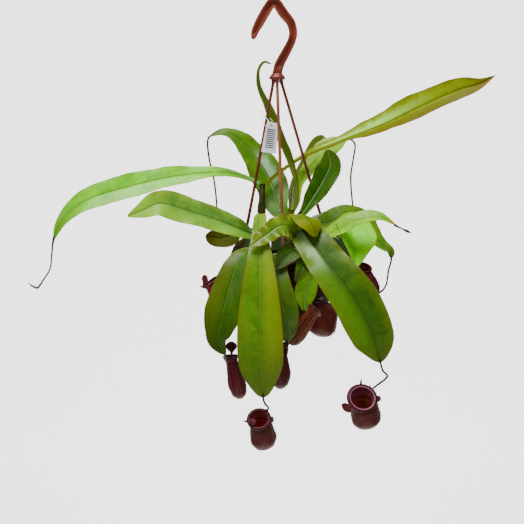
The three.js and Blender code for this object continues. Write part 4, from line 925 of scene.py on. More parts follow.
def rim_finish(name, body, crest, dark):
    """A pitcher's glossy rim: dark outside, with a painted highlight along its crest, streaked across."""
    rim = Finish(name)
    out, up, _ = rim.note("rim")
    patch = rim.noise(210, 3, 0.6)
    fine = rim.noise(900, 3, 0.6)
    across = out + fine * 0.2 - 0.1
    skin = rim.mix(patch.within(0.36, 0.66) * 0.5, colour(body), colour(dark))
    # The crest colour is a painted highlight along the inner top of the roll.
    skin = rim.layered(skin, (across.within(-0.98, -0.7) * up.within(-0.1, 0.3), crest),
                       (across.within(-0.5, -0.1), dark))
    return rim.done(skin, fine, 0.08, Roughness=0.3 + patch * 0.14, Specular__IOR__Level=0.22)


def bark_finish(name, body, light, dark, scale=1.0):
    """A stem or tendril: fibres along it and darker spots."""
    bark = Finish(name)
    fibre = bark.noise(1.0, 4, 0.6, stretch=(900 * scale, 900 * scale, 160 * scale))
    patch = bark.noise(95 * scale, 3, 0.55)
    skin = bark.mix(patch.within(0.38, 0.68), colour(body), colour(light))
    skin = bark.layered(skin, (fibre.within(0.5, 0.75) * 0.7, dark))
    return bark.done(skin, fibre + patch * 0.5, 0.25, Roughness=0.5 + fibre * 0.25, Specular__IOR__Level=0.12)


def plastic_finish(name, body, light, dark, rough=0.34, shine=0.5):
    """Moulded plastic: soft clouding, rub marks, patches of dust and a fine orange-peel skin."""
    plastic = Finish(name)
    cloud = plastic.noise(28, 3, 0.5)
    peel = plastic.noise(1300, 2, 0.5)
    rub = plastic.noise(1.0, 4, 0.7, stretch=(260, 260, 40))
    dust = plastic.noise(320, 5, 0.7).within(0.6, 0.78)
    skin = plastic.mix(cloud.within(0.35, 0.7), colour(body), colour(light))
    skin = plastic.layered(skin, (rub.within(0.56, 0.74) * 0.5, dark), (dust * 0.18, DUST))
    return plastic.done(skin, peel * 0.1 + rub * 0.25, 0.07, Roughness=rough + rub * 0.2 + dust * 0.15,
                        Specular__IOR__Level=shine)


def ground_finish(name, body, light, dark, scale):
    """Damp growing mix, bark crumbs or pale grit."""
    ground = Finish(name)
    grit = ground.noise(300 * scale, 6, 0.7)
    patch = ground.noise(60 * scale, 3, 0.5)
    skin = ground.mix(patch.within(0.35, 0.7), colour(body), colour(light))
    skin = ground.layered(skin, (grit.within(0.45, 0.7), dark))
    return ground.done(skin, grit + ground.cells(240 * scale), 0.8, Roughness=0.78 + grit * 0.2,
                       Specular__IOR__Level=0.3)


def card_finish(name):
    """Coated white card with a block of plain even bars and a few plain rules."""
    card = Finish(name)
    x, z, front = card.note("card")
    fibre = card.noise(1500, 3, 0.6)
    smudge = card.noise(140, 3, 0.6).within(0.55, 0.8)
    bars = (z / BAR_PITCH).wave().within(0.3, 0.42) * x.inside(*BARS_ACROSS, 0.1)
    rules = (x / RULE_PITCH).wave().within(0.78, 0.9) * x.inside(*RULES_ACROSS, 0.1)
    rules = rules * (z / RULE_DASH).wave().within(0.1, 0.2)
    printed = (bars + rules * 0.7) * z.inside(*PRINT_HEIGHTS, 0.2) * front
    skin = card.mix(smudge * 0.2, colour("#f2f4fb"), colour("#cfcabd"))
    skin = card.layered(skin, (printed, "#10131c"))
    return card.done(skin, fibre, 0.03, Roughness=0.5 + fibre * 0.1, Specular__IOR__Level=0.45)


def backdrop_finish(name, pale, glow):
    """Pale matt paper with a painted glow: it emits light brightly behind the plant and fades to its own tone at the
    sides and above.
    """
    paper = Finish(name)
    x, _, z = paper.parts(paper.place)
    # Where the paper glows by emission: a painted light, not a lamp.
    lit = abs(x).within(1.5, 1.0) * z.within(0.5, 0.24)
    skin = paper.mix(paper.noise(3, 3), (0.98 * pale, 0.98 * pale, 0.98 * pale, 1), (pale, pale, pale, 1))
    return paper.done(skin, Roughness=0.9, Emission__Color=paper.mix(lit, (0, 0, 0, 1), (1, 1, 1, 1)),
                      Emission__Strength=glow)


# Leaves

def blade(name, spec, rows, thickness, material, lid=False):
    """A leaf blade from its midrib, widths and facing: rounded edges, ripples and a keeled midrib."""
    spine = Path(spec["rib"])
    tip, fold, wave, waves = spec["tip"], spec["fold"], spec.get("wave", 0.0), spec.get("waves", 4)
    rounding = np.radians(np.linspace(0, 90, max(rows // 6, 5) + 1))[1:]
    share = np.concatenate([np.linspace(0, 1 - tip, rows), 1 - tip + tip * np.sin(rounding)])
    narrow = np.concatenate([np.ones(rows), np.cos(rounding)])
    centre, ahead = spine.at(share), spine.ahead(share)
    up = turning(spec["face"], share)
    up = unit(up - (up * ahead).sum(axis=1)[:, None] * ahead)
    side = np.cross(ahead, up)
    half = np.maximum(along(spec["width"], share) * narrow, 0.7) / 2

    steps = np.array([0.03, 0.065, 0.11, 0.17, 0.25, 0.35, 0.46, 0.57, 0.68, 0.78, 0.86, 0.93, 0.975, 1.0])
    a, t = np.meshgrid(np.concatenate([-steps[::-1], [0], steps]), share)
    reach = a * half[:, None]
    lobe = np.where(a < 0, 0.0, 2.0)
    ripple = wave * np.sin(TURN * waves * t + lobe) * np.sin(np.pi * t) * a**2
    crimp = 0.32 * wave * np.sin(TURN * 2.7 * waves * t + 1.3 * lobe + 0.6) * np.sin(np.pi * t) * a**6
    lift = half[:, None] * fold * (np.sqrt(a**2 + 0.004) - 0.063) + ripple + crimp
    middle = centre[:, None] + reach[..., None] * side[:, None] + lift[..., None] * up[:, None]

    normal = unit(np.cross(np.gradient(middle, axis=1), np.gradient(middle, axis=0)))
    thick = thickness * (1 - 0.5 * a**4) * np.minimum(1, 0.35 + 6 * (1 - t))
    groove = 0.6 * np.exp(-(reach / 0.85) ** 2) * (1 - 0.5 * t)
    keel = 0.95 * np.exp(-(reach / 0.95) ** 2) * (1 - 0.75 * t)
    over = middle + normal * (thick / 2 - groove)[..., None]
    under = middle - normal * (thick / 2 + keel)[..., None]
    round_out = 0.3 * thick[:, :1, None] * side[:, None]
    rings = np.concatenate([over, middle[:, -1:] + round_out, under[:, ::-1], middle[:, :1] - round_out], axis=1)

    def around(values, back=None):
        back = values[:, ::-1] if back is None else back
        return np.concatenate([values, values[:, -1:], back, values[:, :1]], axis=1).ravel()

    below = around(0 * a, 0 * a + 1)
    notes = {"blade": [around(a), around(t), below],
             "span": [around(reach), around(t) * spine.length, np.repeat(half, rings.shape[1])]}
    if lid:
        notes["cup"] = [0.7 + 0.3 * around(t), 0 * below, 0 * below]
    notes = {key: np.stack(values, axis=1) for key, values in notes.items()}
    notes = {key: np.vstack([note, note[:1], note[-1:]]) for key, note in notes.items()}
    return new_object(name, *loft(rings), notes, material)


def leaf_piece(name, material, trail_material, ripple=1.0):
    """A leaf with its bare trailing end, if it has one."""
    spec = {**LEAVES[name]}
    spec["wave"] = spec.get("wave", 0.0) * ripple
    rib = Path(spec["rib"])
    rows = int(np.clip(rib.length / ROW_STEP, *ROW_LIMITS))
    parts = [blade(name, spec, rows, LEAF_THICKNESS, material)]
    if "trail" in spec:
        line = [rib.at(TENDRIL_START), spec["rib"][-1], *spec["trail"]]
        radii = spec.get("bud", [1.3, 1.25, 1.2, 1.2, 1.2, 1.15, 1.15, 1.1, 0.8])
        parts.append(tapered(f"{name}_trail", line, radii, trail_material, steps=70))
    return joined(name, parts)


# Pitchers

class Cup:
    """The frame of a pitcher along its height."""

    def __init__(self, spec):
        self.spec = spec
        self.radius, self.belly = spec["radius"], spec["belly"]
        self.foot = np.array(spec["base"], float)
        self.rise = np.array(spec["mouth"], float) - self.foot
        self.straight = unit(self.rise)

    def at(self, share):
        """Centre and directions (up its axis, to its back, across) at a share of its height."""
        share = np.atleast_1d(np.asarray(share, float))[:, None]
        axis = unit(self.straight * (1 - share**2) + unit(self.spec["open"]) * share**2)
        back = np.array(self.spec["back"], float)
        back = unit(back - (axis @ back)[:, None] * axis)
        return self.foot + self.rise * share, axis, back, np.cross(axis, back)

    def rings(self, share, size, turns, swell=0.0):
        """Rings round it; swell may vary along and around."""
        centre, _, back, across = (rows[:, None] for rows in self.at(share))
        reach = np.asarray(size, float).reshape(-1, 1) + swell
        return centre + back * (reach * np.cos(turns))[..., None] + across * (reach * np.sin(turns))[..., None]

    def wall(self, share):
        """The radius of its outside at a share of its height."""
        radius, belly = self.radius, self.belly
        return eased([(0, 0), (0.014, belly * 0.26), (0.05, belly * 0.5), (0.16, belly * 0.84), (0.36, belly),
                      (0.66, belly * 0.42 + radius * 0.54), (0.9, radius - 1.1), (0.97, radius - 0.2), (1, radius)],
                     share)

    def place(self):
        """The matrix that puts a rim made round Z at its mouth, back along +X."""
        centre, axis, back, across = (rows[0] for rows in self.at(1.0))
        matrix = Matrix.Identity(4)
        for column, vector in enumerate((back, across, axis, centre * MM)):
            for row in range(3):
                matrix[row][column] = vector[row]
        return matrix


def pitcher_skin(name, cup, finish, hair, hair_length):
    """The hollow cup of a pitcher, with two fins up its front, fringed with hairs."""
    radius, belly = cup.radius, cup.belly
    wing = cup.spec.get("wing", 2.4)
    ears = cup.spec.get("ears", wing * 0.8)
    turns = circle(CUP_SIDES)
    share = np.linspace(0, 1, 44) ** 1.5
    share[0] = 0.0006
    outer = cup.wall(share)
    swell = 0.25 * np.sin(3 * turns + 7 * share[:, None]) + 0.15 * np.sin(7 * turns - 11 * share[:, None])
    lip = np.array([1, 0.985, 0.965, 0.94, 0.91, 0.88, 0.85, 0.83])
    deep = np.concatenate([lip, [0.8, 0.72, 0.58, 0.45, 0.32, 0.22, 0.16]])
    inner = np.concatenate([radius * np.array([0.93, 0.85, 0.76, 0.67, 0.6, 0.56, 0.56, 0.62]), eased(
        [(THROAT_FLOOR, 1), (0.2, belly * 0.72 - PITCHER_WALL), (0.45, belly * 0.92 - PITCHER_WALL),
         (0.82, radius * 0.86 - PITCHER_WALL), (1, radius * 0.86)], deep[len(lip):])])
    rings = np.concatenate([cup.rings(share, outer, turns, swell * np.minimum(1, 6 * share[:, None])),
                            cup.rings(deep, inner, turns)])
    note = np.stack([np.concatenate([share, deep]), np.repeat([0, 1], [len(share), len(deep)]),
                     np.zeros(len(rings))], axis=1)
    note = np.vstack([np.repeat(note, len(turns), axis=0), [0, 0, 0], [THROAT_FLOOR, 1, 0]])
    parts = [new_object(name, *loft(rings, cup.foot, cup.at(THROAT_FLOOR)[0][0]), {"cup": note}, finish)]

    rise = np.linspace(0.06, 1.0, 40)
    keel = eased([(0, 0), (0.06, 0.2), (0.16, wing * 0.5), (0.36, wing), (0.66, wing), (0.8, (wing + ears) / 2),
                  (0.88, ears), (0.95, ears * 0.92), (1, ears * 0.4)], rise)
    wall = np.interp(rise, share, outer)
    for side in (-1, 1):
        turn = np.array([math.pi + side * WING_TURN])
        ragged = 0.22 * np.sin(rise * 90 + side) + 0.16 * np.sin(rise * 47)
        root = cup.rings(rise, wall - 0.8, turn)[:, 0]
        crest = cup.rings(rise, wall + keel + ragged * np.minimum(1, keel), turn)[:, 0]
        across = unit(cup.rings(rise, wall, turn + 0.05)[:, 0] - cup.rings(rise, wall, turn)[:, 0])
        halfway = (root + crest) / 2
        low, high = across * WING_THICKNESS * 0.5, across * WING_THICKNESS * 0.35
        loops = np.stack([root + low, halfway + high, crest, halfway - high, root - low], axis=1)
        note = np.stack([np.repeat(rise, 5), np.zeros(200), np.tile([0, 0.6, 1, 0.6, 0], 40)], axis=1)
        note = np.vstack([note, note[:1], note[-1:]])
        parts.append(new_object(f"{name}_fin", *loft(loops), {"cup": note}, finish))
        outward = unit(crest - cup.at(rise)[0])
        line = line_object(f"{name}_fringe", (crest - outward * 0.25)[4:-3], {"out": outward[4:-3]})
        parts.append(fringe_tree().grow(line, Spacing=HAIR_SPACING * MM, Length=hair_length,
                                        Hair_radius=HAIR_RADIUS * MM, Seed=3 + side, Material=hair))
    return parts


def pitcher_rim(name, cup, finish):
    """The rolled rim with its fine ribs."""
    radius = cup.radius
    wide, high = 0.12 * radius + 0.4, 0.09 * radius + 0.25
    turns = circle(ROLL_SIDES)
    middle = radius + RIM_OVERHANG - wide
    profile = [(middle + wide * math.cos(turn), RIM_LIFT + high * math.sin(turn)) for turn in turns]
    rings = np.swapaxes(lathe(profile, RIM_SIDES), 0, 1)
    rings = np.concatenate([rings, rings[:1]])
    note = np.tile(np.stack([np.cos(turns), np.sin(turns), 0 * turns], axis=1), (len(rings), 1))
    roll = new_object(f"{name}_roll", *loft(rings), {"rim": np.vstack([note, note[:2]])}, finish)
    ribs = rib_tree().grow(line_object(f"{name}_ribs", [[0, 0, 0], [1, 0, 0]]), Rim_radius=middle * MM,
                           Roll_width=wide * MM, Roll_height=high * MM, Rib_radius=RIB_RADIUS * MM,
                           Ribs=int(TURN * radius / RIB_SPACING), Material=finish)
    ribs.data.transform(Matrix.Translation((0, 0, RIM_LIFT * MM)))
    for part in (roll, ribs):
        part.data.transform(cup.place())
    return [roll, ribs]


def pitcher_lid(name, cup, finish, lid_finish):
    """The lid on its short neck, and the spur behind it."""
    spec = cup.spec
    centre, axis, back, _ = (rows[0] for rows in cup.at(1.0))
    hinge = centre + back * (cup.radius + 0.6)
    parts = []
    if "lid" in spec:
        lean = math.radians(spec["lean"])
        forward = -back * math.cos(lean) + axis * math.sin(lean)
        upward = back * math.sin(lean) + axis * math.cos(lean)
        neck = hinge + axis * 2.5
        size = spec["lid"] * spec.get("flap", 1.0)
        rib = [hinge - axis * 1.5, neck, neck + forward * size * 0.3 + upward * 0.8,
               neck + forward * size * 0.7 + upward, neck + forward * size]
        flap = dict(rib=rib, width=[3, 3.4, size * 0.82, size * 0.9, size * 0.6],
                    face=[upward, spec.get("lid_face", upward)], tip=0.2, fold=-0.18, wave=0.5, waves=2)
        parts.append(blade(f"{name}_lid", flap, LID_ROWS, LID_THICKNESS, lid_finish, lid=True))
    way = unit(spec.get("spur", back * 0.7 + axis * 0.75))
    start = centre + unit(way - axis * (way @ axis)) * (cup.radius + 0.2)
    tall = spec.get("spur_height", 1.0)
    spur = [start - axis * 1.2, start + way * 2.5 * tall, start + way * 4.5 * tall + axis * 1.5]
    return [*parts, tapered(f"{name}_spur", spur, [1.5, 1.3, 0.8], finish, sides=7, steps=8)]


def pitcher_piece(name, skin, rim, lid, hair_length):
    """A pitcher with its rim, fins, lid and spur."""
    cup = Cup(PITCHERS[name])
    return joined(name, pitcher_skin(name, cup, skin, rim, hair_length) + pitcher_rim(name, cup, rim)
                  + pitcher_lid(name, cup, skin, lid))


def tendril_piece(name, material):
    """The tendril from a leaf's tip, past points, down one side of its pitcher and into its base."""
    cup = Cup(PITCHERS[name])
    spec = cup.spec
    rib = Path(LEAVES[spec["leaf"]]["rib"])
    out = np.array(spec["side"], float)
    out = unit(out - cup.straight * (out @ cup.straight))

    def beside(share, reach):
        return cup.at(share)[0][0] + out * reach

    lane = [beside(share, cup.wall(share) + (RIM_OVERHANG if share > 0.9 else 0) + 1.7)
            for share in spec.get("lane", [0.96, 0.66, 0.3])]
    points = [rib.at(TENDRIL_START), rib.at(1.0) + rib.ahead(1.0) * 2.5, *spec["via"], *lane,
              beside(0.08, cup.belly * 0.86), beside(0.1, cup.belly * 0.3)]
    return tapered(name.replace("pitcher", "tendril"), points, [1.25, 1.2, 1.2, 1.2, 1.15, 1.15, 1.15, 1.25, 1.4],
                   material, steps=90)


# Hanger

def soft_corners(corners, radius, steps=3):
    """A closed outline with each corner turned into a small arc."""
    corners = np.array(corners, float)
    points = []
    for before, corner, after in zip(np.roll(corners, 1, axis=0), corners, np.roll(corners, -1, axis=0)):
        back, on = before - corner, after - corner
        reach = min(radius, 0.45 * np.linalg.norm(back), 0.45 * np.linalg.norm(on))
        start, end = corner + unit(back) * reach, corner + unit(on) * reach
        for share in np.linspace(0, 1, steps + 1):
            points.append((1 - share)**2 * start + 2 * share * (1 - share) * corner + share**2 * end)
    return np.array(points)


def crook_line(steps=34):
    """Stations [x, z, half width] down the crook's centre line, from its tip to the disc."""
    flat = SEAT_WIDTH / 2
    left = [*CROOK_LEFT, [-flat - 0.9, APEX_HALF - 0.35, APEX_HALF]]
    right = [[flat + 0.9, APEX_HALF - 0.35, APEX_HALF], *CROOK_RIGHT]
    share = np.linspace(0, 1, steps)
    limbs = [np.stack([along([p[k] for p in limb], share) for k in range(3)], axis=1) for limb in (left, right)]
    apex = [[x, APEX_HALF, APEX_HALF] for x in (-flat, 0, flat)]
    return np.vstack([limbs[0][:-1], apex, limbs[1][1:]])


def hook_piece(material):
    """The crook: a band of H-section on the disc that holds the arms."""
    stations = crook_line()
    place, half = stations[:, :2], stations[:, 2]
    ahead = unit(np.gradient(place, axis=0))
    normal = np.stack([-ahead[:, 1], ahead[:, 0]], axis=1)
    run = np.concatenate([[0], np.cumsum(np.linalg.norm(np.diff(place, axis=0), axis=1))])
    groove = smooth_step(4, 9, run) * smooth_step(5, 12, run[-1] - run)
    front = HOOK_DEPTH / 2
    rings = []
    for centre, way, wide, share in zip(place, normal, half, groove):
        lip = min(HOOK_FLANGE, wide * 0.62)
        web = front - 0.06 - (front - HOOK_WEB / 2 - 0.06) * share
        outline = soft_corners([(wide, -front), (wide, front), (wide - lip, front), (wide - lip, web),
                                (lip - wide, web), (lip - wide, front), (-wide, front), (-wide, -front),
                                (lip - wide, -front), (lip - wide, -web), (wide - lip, -web),
                                (wide - lip, -front)], 0.6)
        rings.append(np.stack([centre[0] + outline[:, 0] * way[0], outline[:, 1],
                               centre[1] + outline[:, 0] * way[1]], axis=1))
    band = new_object("hanger_hook", *loft(rings), material=material)
    high, wide = COLLAR_HEIGHT, COLLAR_RADIUS
    profile = [(0.3, -high), (wide - 1.6, -high), (wide - 0.5, 0.4 - high), (wide, 1.4 - high), (wide, 2.8 - high),
               (wide - 0.5, 3.6 - high), (8, -1.6), (6.8, -0.2), (6.2, 0.6), (4, 1.1), (0.3, 1.4)]
    disc = new_object("disc", *loft(lathe(profile, 72, Matrix.Translation(COLLAR))), material=material)
    return joined("hanger_hook", [band, rounded(disc, 0.35, crease=30)])


def box_part(size, centre, matrix, material, edge):
    """A box with soft edges; matrix places it."""
    x, y, z = (s / 2 for s in size)
    corners = np.array([(i, j, k) for i in (-x, x) for j in (-y, y) for k in (-z, z)])
    faces = [(0, 1, 3, 2), (4, 6, 7, 5), (0, 4, 5, 1), (2, 3, 7, 6), (0, 2, 6, 4), (1, 5, 7, 3)]
    points = moved(corners, matrix @ Matrix.Translation(centre))
    return rounded(new_object("box", points, faces, material=material), edge, 3)


def arm_piece(side, material):
    """An arm from the disc down to its clip under the pot's rim."""
    turn = math.radians(ARM_TURNS[side])
    place = POT_FRAME @ Matrix.Rotation(turn, 4, "Z")

    def around(radius, height):
        return np.array([radius * math.sin(turn), -radius * math.cos(turn), height])

    def on_pot(point):
        return np.array(POT_FRAME @ Matrix.Translation(point))[:3, 3]

    clip = [box_part(size, (0, inward - CLIP_REACH, height), place, material, edge)
            for size, inward, height, edge in CLIP_BOXES]
    lower, middle = on_pot(around(CLIP_REACH, 4)), on_pot(around(CLIP_REACH - 9.5, 30))
    upper = np.array(COLLAR) + around(ARM_SPREAD, -COLLAR_HEIGHT - GAP)
    line = [upper, upper * 0.88 + middle * 0.12, middle, lower]
    radius = ARM_RADIUS
    parts = [tapered("rod", line, [radius, radius, radius, radius * 1.05, radius * 1.15], material, 20, 60),
             tapered("root", [upper + [0, 0, 0.2], upper * 0.97 + middle * 0.03], [radius * 1.5, radius], material,
                     20, 8), *clip]
    if side == "left":
        thorn = Path(line).at(0.86)
        parts.append(tapered("thorn", [thorn, thorn + [3.2, -1.4, 1.6]], [1.1, 0.7, 0.25], material, 8, 6))
    return joined(f"hanger_arm_{side}", parts)


# Pot and soil

def wall_radius(drop):
    """The pot's outer radius under its rim."""
    return POT_NECK_RADIUS - (POT_NECK_RADIUS - POT_FOOT_RADIUS) * (drop - POT_RIM_BAND) / (POT_HEIGHT - POT_RIM_BAND)


def pot_piece(material):
    """The pot: a rolled rim band, a tapered wall with faint rings and a foot, with drain holes."""
    rim, wall, neck, foot = POT_RIM_RADIUS, POT_WALL, POT_NECK_RADIUS, POT_FOOT_RADIUS
    band, floor, inner = POT_RIM_BAND, POT_FLOOR, POT_NECK_RADIUS - POT_WALL
    profile = [
        (foot - 5, -floor - 2), (foot - 4, -POT_HEIGHT), (foot, -POT_HEIGHT), (foot + 0.5, -POT_HEIGHT + 0.8),
        *((wall_radius(drop) + 0.12 * math.cos(drop * 1.3), -drop) for drop in np.linspace(80, 14, 56)),
        (neck, -band), (neck, -4.4), (rim - wall, -2.4), (rim - wall, -band + 0.3), (rim - wall + 0.4, -band),
        (rim - 0.4, -band), (rim, -band + 0.5), (rim, -9.5), (rim - 0.35, -9.2), (rim - 0.35, -8.8), (rim, -8.5),
        (rim, -2.2), (rim - 0.2, -0.8), (rim - 0.9, -0.1), (rim - 1.8, 0), (rim - 3.2, -0.2), (rim - 4.6, -1),
        (inner + 0.6, -2.2), (inner, -3.4), (inner, -band), (wall_radius(floor - 4) - wall, 4 - floor),
        (wall_radius(floor) - 6, -floor),
    ]
    bottom, top = (np.array(POT_FRAME @ Matrix.Translation((0, 0, z)))[:3, 3] for z in (-floor - 2, -floor))
    body = new_object("pot", *loft(lathe(profile, POT_SIDES, POT_FRAME), bottom, top))
    drills = []
    for turn in circle(DRAIN_HOLES):
        place = Matrix.Translation((DRAIN_RING * math.cos(turn), DRAIN_RING * math.sin(turn), 0))
        hole = [(DRAIN_HOLE_RADIUS, z) for z in (-floor - 6, -floor + 6)]
        drills.append(new_object("drill", *loft(lathe(hole, 28, POT_FRAME @ place))))
    drill = joined("drill", drills)
    add_modifier(body, "BOOLEAN", operation="DIFFERENCE", solver="EXACT", object=drill)
    settled(body)
    bpy.data.objects.remove(drill)
    body.data.set_sharp_from_angle(angle=math.radians(40))
    body.data.materials.clear()
    body.data.materials.append(material)
    body.data.polygons.foreach_set("material_index", [0] * len(body.data.polygons))
    return body


def soil_height(x, y):
    """The height of the soil's lumpy top in the pot's frame."""
    lump = 1.3 * np.sin(x * 0.31 + 1) * np.cos(y * 0.27) + 0.8 * np.sin(x * 0.12 - y * 0.45)
    fine = 0.5 * np.sin(x * 0.9 + 2) * np.sin(y * 1.1) + 0.25 * np.sin(x * 2.1 - y * 1.7)
    dome = 2 * (1 - np.hypot(x, y) / (POT_NECK_RADIUS - POT_WALL)) + 7 * np.exp(-(x**2 + (y + 20)**2) / 500)
    return dome + lump + fine - SOIL_DROP


def soil_piece(mix, bark, grit, crumbs, seed):
    """The growing mix up to its lumpy top, with bark chips and pale grit."""
    count = SOIL_SIDES
    inner = POT_NECK_RADIUS - POT_WALL - GAP
    turns = circle(count)
    low = [(wall_radius(POT_FLOOR) - 7, GAP - POT_FLOOR), (wall_radius(POT_FLOOR - 4) - POT_WALL - GAP, 5 - POT_FLOOR),
           (inner, -POT_RIM_BAND), (inner, -POT_RIM_BAND + 1)]
    rings = list(lathe(low, count))
    for radius in np.linspace(inner, 1.5, SOIL_RINGS):
        x, y = radius * np.cos(turns), radius * np.sin(turns)
        fade = smooth_step(0, SOIL_EDGE, inner - radius)
        rings.append(np.stack([x, y, soil_height(x, y) * fade - (SOIL_DROP + SOIL_EDGE_DROP) * (1 - fade)], axis=1))
    rings = moved(np.array(rings), POT_FRAME)
    parts = [new_object("soil", *loft(rings), material=mix)]
    top = rings[6:-1]
    faces = [(r * count + i, r * count + (i + 1) % count, (r + 1) * count + (i + 1) % count, (r + 1) * count + i)
             for r in range(len(top) - 1) for i in range(count)]
    for (label, (density, size, flat)), material in zip(CRUMBS.items(), (bark, grit)):
        field = new_object(f"soil_{label}", top.reshape(-1, 3), faces)
        parts.append(crumb_tree().grow(field, Density=density * crumbs, Size=size * MM, Flatness=flat, Seed=seed,
                                       Material=material))
    return joined("soil", parts)


# Tag

def tag_piece(material):
    """The card with its hole."""
    top, foot, high = TAG_TOP / 2, TAG_FOOT / 2, TAG_HEIGHT / 2
    outline = soft_corners([(-foot, -high), (foot, -high), (top, high - 1.5), (top - 1.5, high), (1.5 - top, high),
                            (-top, high - 1.5)], 0.5, 4)
    outer = np.vstack([np.linspace(a, b, 8, endpoint=False) for a, b in zip(outline, np.roll(outline, -1, axis=0))])
    hole = np.array(TAG_HOLE)
    inside = hole + TAG_HOLE_RADIUS * unit(outer - hole)
    count = len(outer)
    points, notes = [], []
    for shape, front in ((outer, 0), (outer, 1), (inside, 1), (inside, 0)):
        points.append(np.stack([shape[:, 0], np.full(count, -TAG_THICKNESS * front), shape[:, 1]], axis=1))
        notes.append(np.stack([shape[:, 0], shape[:, 1], np.full(count, front)], axis=1))
    faces = [(k * count + i, (k + 1) % 4 * count + i, (k + 1) % 4 * count + (i + 1) % count,
              k * count + (i + 1) % count) for k in range(4) for i in range(count)]
    place = Matrix.Translation(TAG_PLACE) @ Matrix.Rotation(math.radians(TAG_TURN), 4, "Y")
    return new_object("tag", moved(np.vstack(points), place), faces, {"card": np.vstack(notes)}, material,
                      smooth=False)


# Properties, operators and panel

class PlantLeaves(bpy.types.PropertyGroup):
    """How the leaves look."""

    ripple: bpy.props.FloatProperty(name="Ripple", description="Strength of the waves at the leaves' edges",
                                    default=1.0, min=0, max=1.5)
    gloss: bpy.props.FloatProperty(name="Gloss", description="How glossy the upper sides are",
                                   default=0.5, min=0, max=1, subtype="FACTOR")


class PlantPitchers(bpy.types.PropertyGroup):
    """How the pitchers look."""

    skin: bpy.props.FloatVectorProperty(name="Skin", description="Colour of the right and rear pitchers", size=4,
                                        subtype="COLOR", default=colour("#4c1116"), min=0, max=1)
    hair: bpy.props.FloatProperty(name="Wing hair", description="Length of the hairs along the wings",
                                  default=0.0026, min=0.001, max=0.004, subtype="DISTANCE", unit="LENGTH")


class PlantHanger(bpy.types.PropertyGroup):
    """How the hanger and pot look."""

    plastic: bpy.props.FloatVectorProperty(name="Hanger", description="Colour of the moulded hanger", size=4,
                                           subtype="COLOR", default=colour("#64230f"), min=0, max=1)
    pot: bpy.props.FloatVectorProperty(name="Pot", description="Colour of the pot", size=4, subtype="COLOR",
                                       default=colour("#220f04"), min=0, max=1)
    crumbs: bpy.props.FloatProperty(name="Crumbs", description="How thickly bark and grit lie on the soil",
                                    default=1.0, min=0.1, max=2)
    seed: bpy.props.IntProperty(name="Seed", description="Changes where bark and grit lie", default=4)


class PlantStage(bpy.types.PropertyGroup):
    """The floor, backdrop and light round the plant."""

    pale: bpy.props.FloatProperty(name="Backdrop", description="Brightness of the floor and backdrop",
                                  default=0.9, min=0, max=1, subtype="FACTOR")
    light: bpy.props.FloatProperty(name="Light", description="Strength of all the lamps", default=1.0, min=0, max=4)


class PLANT_OT_stage(bpy.types.Operator):
    """Set up the camera, the soft light, the floor and the backdrop."""

    bl_idname = "plant.stage"
    bl_label = "Stage"

    def execute(self, context):
        settings, scene = context.scene.plant_stage, context.scene
        camera = bpy.data.cameras.new("Camera")
        camera.lens, camera.sensor_width = CAMERA_LENS, 36
        eye = bpy.data.objects.new("Camera", camera)
        eye.location = CAMERA_PLACE
        eye.rotation_euler = (math.radians(90 - CAMERA_PITCH), 0, 0)
        scene.collection.objects.link(eye)
        scene.camera = eye

        profile = [(FLOOR_FRONT, FLOOR), (SWEEP_START, FLOOR)]
        profile += [(SWEEP_START + SWEEP_RADIUS * math.sin(turn), FLOOR + SWEEP_RADIUS * (1 - math.cos(turn)))
                    for turn in np.radians(np.linspace(0, 90, 13))[1:]]
        profile += [(SWEEP_START + SWEEP_RADIUS, z) for z in (LIT_HEIGHT, BACKDROP_TOP)]
        points = [(x, y, z) for y, z in profile for x in BACKDROP_COLUMNS]
        faces = [(4 * i + k, 4 * i + k + 1, 4 * i + k + 5, 4 * i + k + 4)
                 for i in range(len(profile) - 1) for k in range(3)]
        backdrop = new_object("backdrop", points, faces)
        for name, glow in (("backdrop_paper", 0.0), ("backdrop_lit", BACKDROP_GLOW)):
            backdrop.data.materials.append(backdrop_finish(name, settings.pale, glow))
        for place, face in enumerate(backdrop.data.polygons):
            face.material_index = int(place % 3 == 1 and place < len(faces) - 3)

        for name, (place, size, power) in LAMPS.items():
            lamp = bpy.data.lights.new(name, "AREA")
            lamp.shape, lamp.size, lamp.energy = "DISK", size, power * settings.light
            lamp.color = (1.0, 0.98, 0.95)
            holder = bpy.data.objects.new(name, lamp)
            holder.location = place
            holder.rotation_euler = (Vector(LAMP_AIM) - holder.location).to_track_quat("-Z", "Y").to_euler()
            scene.collection.objects.link(holder)

        scene.world = bpy.data.worlds.new("Studio")
        scene.world.use_nodes = True
        sky = scene.world.node_tree.nodes["Background"].inputs
        sky["Color"].default_value = (1.0, 1.0, 1.0, 1.0)
        sky["Strength"].default_value = WORLD_LIGHT
        return {"FINISHED"}


class PLANT_OT_hanger(bpy.types.Operator):
    """Build the moulded hook, its disc and the three arms."""

    bl_idname = "plant.hanger"
    bl_label = "Hanger"

    def execute(self, context):
        red = plastic_finish("hanger_red", context.scene.plant_hanger.plastic, "#853a26", "#3f0f08", shine=0.3)
        amber = plastic_finish("hanger_front", "#6c3412", "#8a4716", "#441704")
        hand_over(hook_piece(red), "hanger_plastic", "hanger_hook")
        for side in ARM_TURNS:
            hand_over(arm_piece(side, amber if side == "front" else red), "hanger_plastic", f"hanger_arm_{side}")
        return {"FINISHED"}


